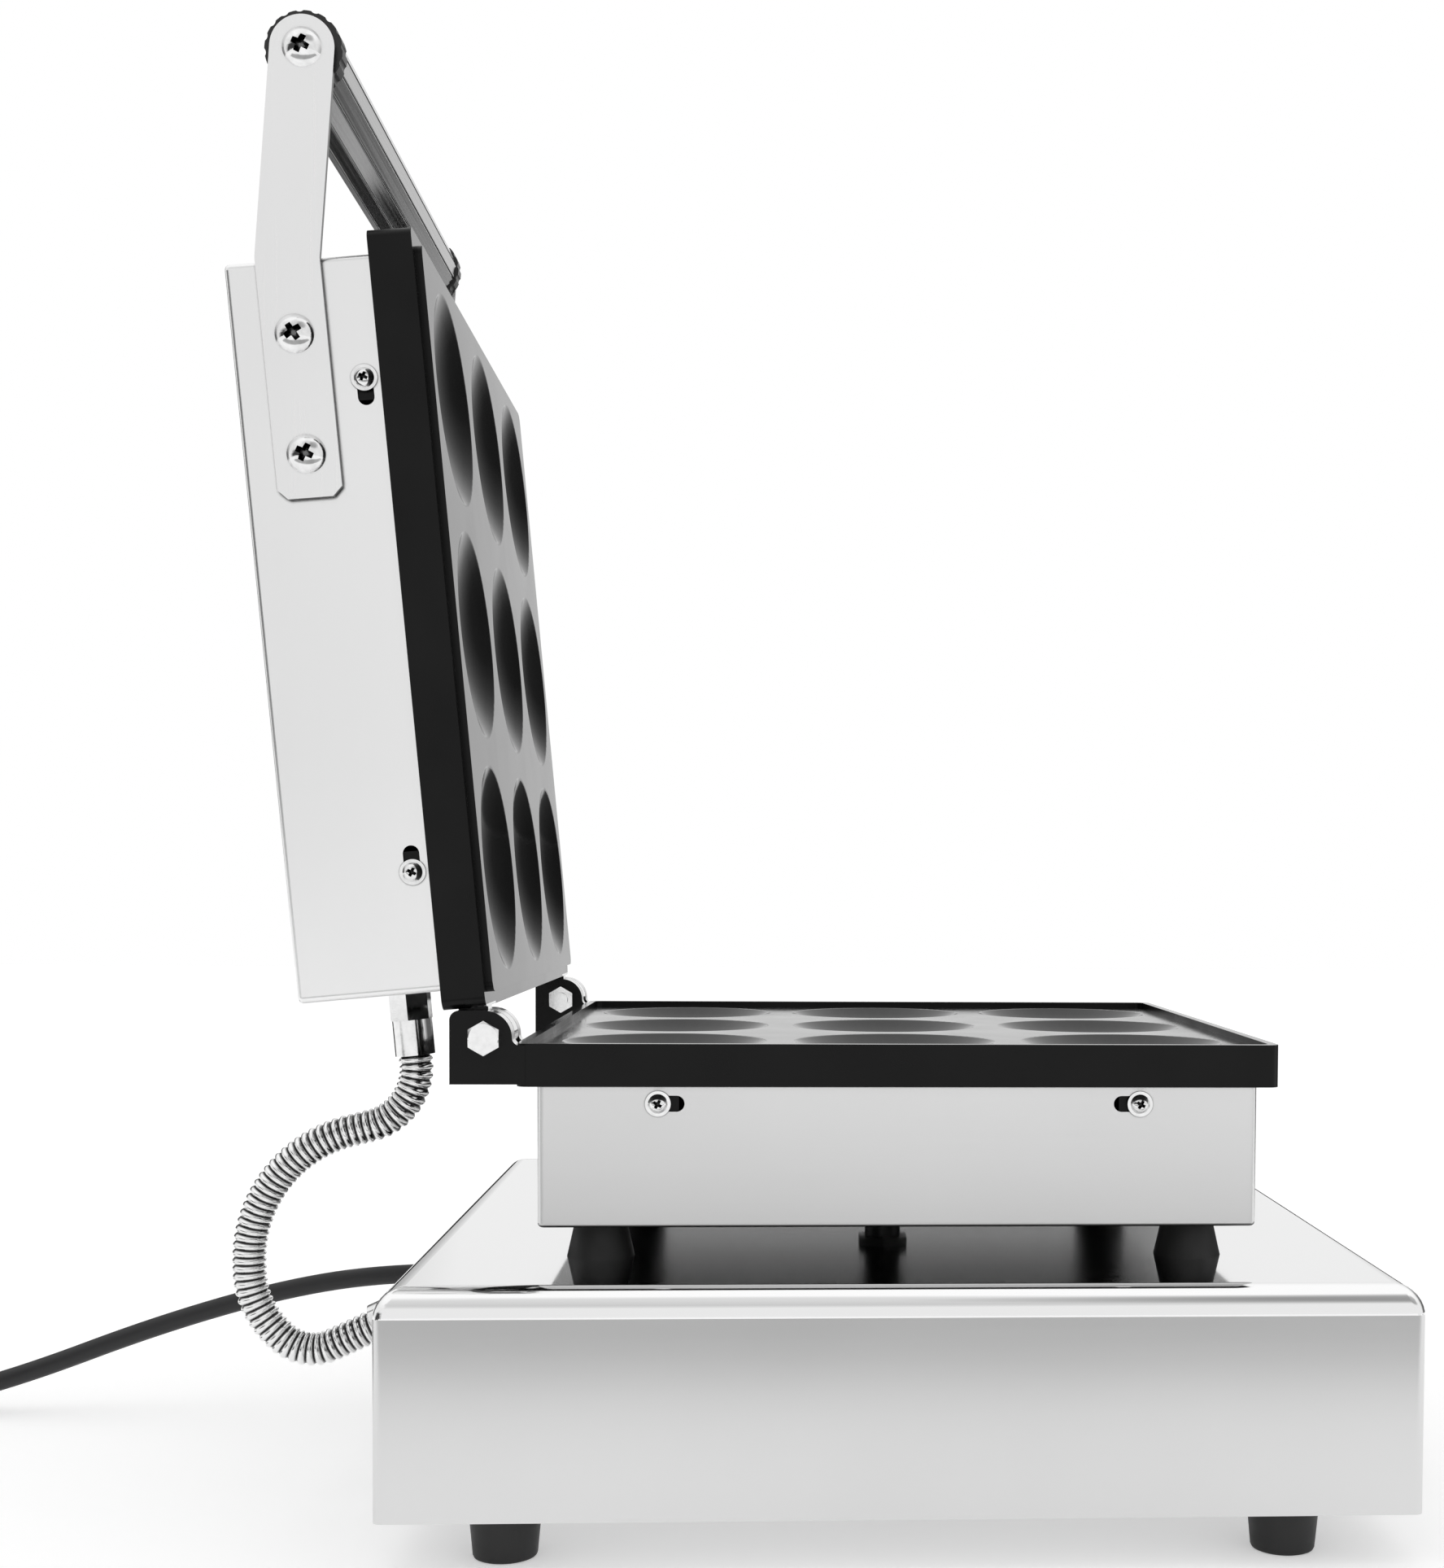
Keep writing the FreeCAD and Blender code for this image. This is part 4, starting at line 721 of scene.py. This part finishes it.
def bright_hose():
    made, tree, shader = new_finish("bright_hose", (0.80, 0.80, 0.80), 0.14, 1.0)
    # Painted shade: the hose is painted near black in the valleys between its ribs and light on
    # their crests.
    groove = tree.nodes.new("ShaderNodeAttribute")
    groove.attribute_name = "rib_height"
    height = between(tree, groove.outputs["Fac"], 0, 1, 0.15, 0.62)
    mottle(tree, shader, height, (0.012, 0.012, 0.012), (0.86, 0.86, 0.86))
    smear = speckle(tree, (120, 120, 120), 3)
    tree.links.new(between(tree, smear, 0.08, 0.20), shader.inputs["Roughness"])
    relief(tree, shader, speckle(tree, (900, 900, 900), 2), 0.00002)
    return made


def bent_line(corners, radii):
    """Points along straight runs with an arc at each inner corner."""
    points = [corners[0]]
    for before, corner, after, r in zip(corners, corners[1:], corners[2:], radii):
        back = (before - corner).normalized()
        on = (after - corner).normalized()
        half_turn = (math.pi - back.angle(on)) / 2
        middle = corner + (back + on).normalized() * (r / math.cos(half_turn))
        spoke = (corner + back * (r * math.tan(half_turn)) - middle).normalized()
        inward = (corner - middle).normalized()
        across = (inward - spoke * inward.dot(spoke)).normalized()
        steps = max(round(2 * half_turn * r / arc_step), arc_steps_least)
        for i in range(steps + 1):
            a = 2 * half_turn * i / steps
            points.append(middle + (spoke * math.cos(a) + across * math.sin(a)) * r)
    return points + [corners[-1]]


hose_line = bent_line([Vector((hose_x, y, z)) for y, z in hose_corners], hose_bend_r)
hose_along = [0.0]
for a, b in zip(hose_line, hose_line[1:]):
    hose_along.append(hose_along[-1] + (b - a).length)
hose_length = hose_along[-1]
hose_ribs = round(hose_length / hose_rib_pitch)


def hose_station(s):
    """Place and heading at a distance along the hose."""
    i = 0
    while i < len(hose_along) - 2 and hose_along[i + 1] < s:
        i += 1
    a, b = hose_line[i], hose_line[i + 1]
    share = (s - hose_along[i]) / (hose_along[i + 1] - hose_along[i])
    before = hose_line[max(i - 1, 0)]
    after = hose_line[min(i + 2, len(hose_line) - 1)]
    heading = ((b - before).lerp(after - a, share)).normalized()
    return a.lerp(b, share), heading


hose_skin = bmesh.new()
rib_layer = hose_skin.verts.layers.float.new("rib_height")
rib_loops = []
rib_swell = []
for i in range(hose_ribs * hose_rings_per_rib + 1):
    at, heading = hose_station(min(i / hose_rings_per_rib / hose_ribs, 1) * hose_length)
    swell = (0.5 - 0.5 * math.cos(2 * math.pi * i / hose_rings_per_rib)) ** rib_flatness
    r = hose_valley_r + (hose_crest_r - hose_valley_r) * swell
    side = Vector((1, 0, 0))
    over = heading.cross(side).normalized()
    angles = [2 * math.pi * j / hose_sides for j in range(hose_sides)]
    rib_loops.append([at + (side * math.cos(a) + over * math.sin(a)) * r for a in angles])
    rib_swell.append(swell)
skin(hose_skin, rib_loops)
for i, vert in enumerate(hose_skin.verts):
    vert[rib_layer] = rib_swell[i // hose_sides]
bmesh.ops.recalc_face_normals(hose_skin, faces=hose_skin.faces)
hose_mesh = bpy.data.meshes.new("conduit_hose_skin")
hose_skin.to_mesh(hose_mesh)
hose_skin.free()
for face in hose_mesh.polygons:
    face.use_smooth = True
hose_mesh.materials.append(bright_hose())
hose = bpy.data.objects.new("conduit_hose_skin", hose_mesh)
scene.collection.objects.link(hose)
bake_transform(hose)
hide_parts("conduit_hose")


# Controls
# Steel panel screwed to the front, with a thermostat, a timer, two pilot lamps and a rocker switch.
# The knobs are moulded black plastic on metal shafts.
def gloss_plastic(name, colour, rough):
    made, tree, shader = new_finish(name, colour, rough)
    cloud = speckle(tree, (120, 120, 120), 3)
    mottle(tree, shader, between(tree, cloud, 0, 1), [c * 0.85 for c in colour], colour)
    tree.links.new(between(tree, cloud, rough * 0.8, rough * 1.3), shader.inputs["Roughness"])
    relief(tree, shader, speckle(tree, (1300, 1300, 1300), 1), 0.00002)
    return made


dress(stainless("panel_steel", 0.70, (7, 800, 800), 0.32), "control_panel")
dress(plating, "panel_screws")
dress(moulded_black("knob_plastic"), "thermostat_knob", "timer_knob", "switch_housing",
      "thermostat_body", "timer_body")
soften(0.0006, "thermostat_knob", "timer_knob", "switch_housing")
dress(heat_dulled("dial_shaft"), "thermostat_shaft", "timer_shaft")
dress(gloss_plastic("red_plastic", (0.55, 0.02, 0.015), 0.25), "switch_rocker")
dress(gloss_plastic("lamp_plastic", (0.05, 0.42, 0.10), 0.14), "pilot_lamps")
dress(gloss_plastic("pale_plastic", (0.78, 0.75, 0.66), 0.5), "terminal_block")
soften(0.0004, "switch_rocker")

# Dial marks
# A white line let into each knob's wing, and a ring of strokes and plain numbers printed round the
# knob on the panel.
panel_front = -0.247530
dial_z = 0.069
knob_gap = 0.001
knob_l = 0.018
knob_wing = 0.004
knob_face = panel_front - knob_gap - knob_l - knob_wing
mark_w = 0.0014
mark_l = 0.013
mark_from = 0.002
mark_sunk = 0.0005
mark_proud = 0.00015
stroke_in = 0.0232
stroke_out = 0.0262
stroke_w = 0.0006
number_r = 0.0305
number_size = 0.0042
number_sunk = 0.00003
print_t = 0.00008
print_sunk = 0.00004
# Each dial: its name, its place across the panel, its sweep in degrees and its numbers.
dials = (("thermostat", 0.058, 270, ("0", "50", "100", "150", "200", "250", "300")),
         ("timer", -0.058, 300, ("0", "1", "2", "3", "4", "5")))


def thin_bar(shape, at, along, across, length, width, y0, y1):
    """A flat bar on the panel that starts at a point, between two depths."""
    corners = [at - across * width / 2, at + across * width / 2,
               at + along * length + across * width / 2, at + along * length - across * width / 2]
    skin(shape, [[Vector((c.x, y, c.z)) for c in corners] for y in (y0, y1)])


print_black = gloss_plastic("dial_print", (0.02, 0.02, 0.02), 0.45)
mark_white = gloss_plastic("mark_white", (0.80, 0.80, 0.78), 0.4)
for name, dial_x, sweep, numbers in dials:
    centre = Vector((dial_x, 0, dial_z))
    mark_shape = bmesh.new()
    thin_bar(mark_shape, centre + Vector((0, 0, mark_from)), Vector((0, 0, 1)), Vector((1, 0, 0)),
             mark_l, mark_w, knob_face + mark_sunk, knob_face - mark_proud)
    as_piece(name + "_mark", mark_shape, mark_white, name + "_dial", smooth=False)
    scale_shape = bmesh.new()
    for i, number in enumerate(numbers):
        a = math.radians(sweep * i / (len(numbers) - 1))
        out = Vector((math.sin(a), 0, math.cos(a)))
        across = Vector((math.cos(a), 0, -math.sin(a)))
        thin_bar(scale_shape, centre + out * stroke_in, out, across, stroke_out - stroke_in,
                 stroke_w, panel_front + print_sunk, panel_front - print_t)
        letters = bpy.data.curves.new("number", "FONT")
        letters.body = number
        letters.size = number_size
        letters.align_x = "CENTER"
        letters.align_y = "CENTER"
        letters.extrude = print_t / 2
        letters.resolution_u = 4
        holder = bpy.data.objects.new("number", letters)
        scene.collection.objects.link(holder)
        bpy.context.view_layer.update()
        depsgraph = bpy.context.evaluated_depsgraph_get()
        flat = bpy.data.meshes.new_from_object(holder.evaluated_get(depsgraph))
        spot = centre + out * number_r + Vector((0, panel_front - print_t / 2 + number_sunk, 0))
        flat.transform(Matrix.Translation(spot) @ Matrix.Rotation(math.radians(90), 4, "X"))
        scale_shape.from_mesh(flat)
        bpy.data.objects.remove(holder)
        bpy.data.meshes.remove(flat)
    as_piece(name + "_scale", scale_shape, print_black, "base", smooth=False)

# Worktop and light
# Plain pale worktop that glows a little, so that it meets the white surround without a line. Cards
# that only reflections see lie on it: a grey one for the base's side and two dark ones for the
# grip bar and the lid's dishes.
floor_size = 12.0
floor_glow = 0.36
card_z = 0.001
# Each card: its name, its reach along X and along Y, its shade and its glow.
cards = (("grey_card", -0.98, -0.545, -1.6, 1.6, 0.42, 0.05),
         ("dark_card", 0.9, 5.8, -0.8, 1.6, 0.02, 0.0),
         ("front_card", 0.4, 5.8, -5.8, -0.8, 0.12, 0.0))


def flat_sheet(name, x0, x1, y0, y1, z):
    """A level sheet that belongs to the picture and not to the machine."""
    mesh = bpy.data.meshes.new(name)
    mesh.from_pydata([(x0, y0, z), (x1, y0, z), (x1, y1, z), (x0, y1, z)], [], [(0, 1, 2, 3)])
    made = bpy.data.objects.new(name, mesh)
    scene.collection.objects.link(made)
    made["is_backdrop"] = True
    return made


def matt_paint(name, colour, glow):
    """Paint that mirrors nothing and may glow."""
    made, tree, shader = new_finish(name, colour, 0.7)
    shader.inputs["Specular IOR Level"].default_value = 0.0
    patchy = between(tree, speckle(tree, (3, 3, 3), 2), 0.65, 0.8)
    tree.links.new(patchy, shader.inputs["Roughness"])
    shader.inputs["Emission Color"].default_value = (1, 1, 1, 1)
    shader.inputs["Emission Strength"].default_value = glow
    return made


floor_half = floor_size / 2
floor = flat_sheet("floor", -floor_half, floor_half, -floor_half, floor_half, 0)
floor.data.materials.append(matt_paint("floor_paint", (0.80, 0.80, 0.80), floor_glow))
for name, x0, x1, y0, y1, shade, glow in cards:
    card = flat_sheet(name, x0, x1, y0, y1, card_z)
    card.data.materials.append(matt_paint(name + "_paint", (shade, shade, shade), glow))
    card.visible_camera = False
    card.visible_diffuse = False
    card.visible_shadow = False

# Studio surround
# White to the eye. What the metal mirrors has a bright panel above the machine and soft, darker
# ones round it.
surround_light = 0.92
# Each panel: the way to it, the cosines at its outer and inner edges, and its share of the light.
panels = [((-0.60, 0.74, -0.12), 0.80, 0.92, 0.06), ((0.76, 0.62, 0.06), 0.86, 0.95, 0.12),
          ((-0.50, -0.42, 0.76), 0.93, 0.98, 0.45), ((0.10, 0.00, 1.00), 0.55, 0.85, 1.2),
          ((0.50, -0.86, -0.05), 0.72, 0.94, 0.15), ((-0.60, 0.00, 0.80), 0.90, 0.97, 0.72)]
sky = bpy.data.worlds.new("surround")
sky.use_nodes = True
sky_tree = sky.node_tree
sky_way = sky_tree.nodes.new("ShaderNodeTexCoord")
level = None
for way, edge, core, shade in panels:
    toward = sky_tree.nodes.new("ShaderNodeVectorMath")
    toward.operation = "DOT_PRODUCT"
    toward.inputs[1].default_value = Vector(way).normalized()
    sky_tree.links.new(sky_way.outputs["Generated"], toward.inputs[0])
    lit = sky_tree.nodes.new("ShaderNodeMath")
    lit.operation = "MULTIPLY"
    share = between(sky_tree, toward.outputs["Value"], 1, shade, edge, core)
    sky_tree.links.new(share, lit.inputs[0])
    lit.inputs[1].default_value = surround_light
    if level is not None:
        sky_tree.links.new(level, lit.inputs[1])
    level = lit.outputs["Value"]
rays = sky_tree.nodes.new("ShaderNodeLightPath")
shown = sky_tree.nodes.new("ShaderNodeMix")
sky_tree.links.new(rays.outputs["Is Camera Ray"], shown.inputs["Factor"])
sky_tree.links.new(level, shown.inputs["A"])
shown.inputs["B"].default_value = 1.0
background = sky_tree.nodes["Background"]
background.inputs["Color"].default_value = (1, 1, 1, 1)
sky_tree.links.new(shown.outputs["Result"], background.inputs["Strength"])
scene.world = sky
scene.view_settings.view_transform = "Standard"

# Size of the finished model
# The box of the finished model, in metres.
low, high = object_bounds()
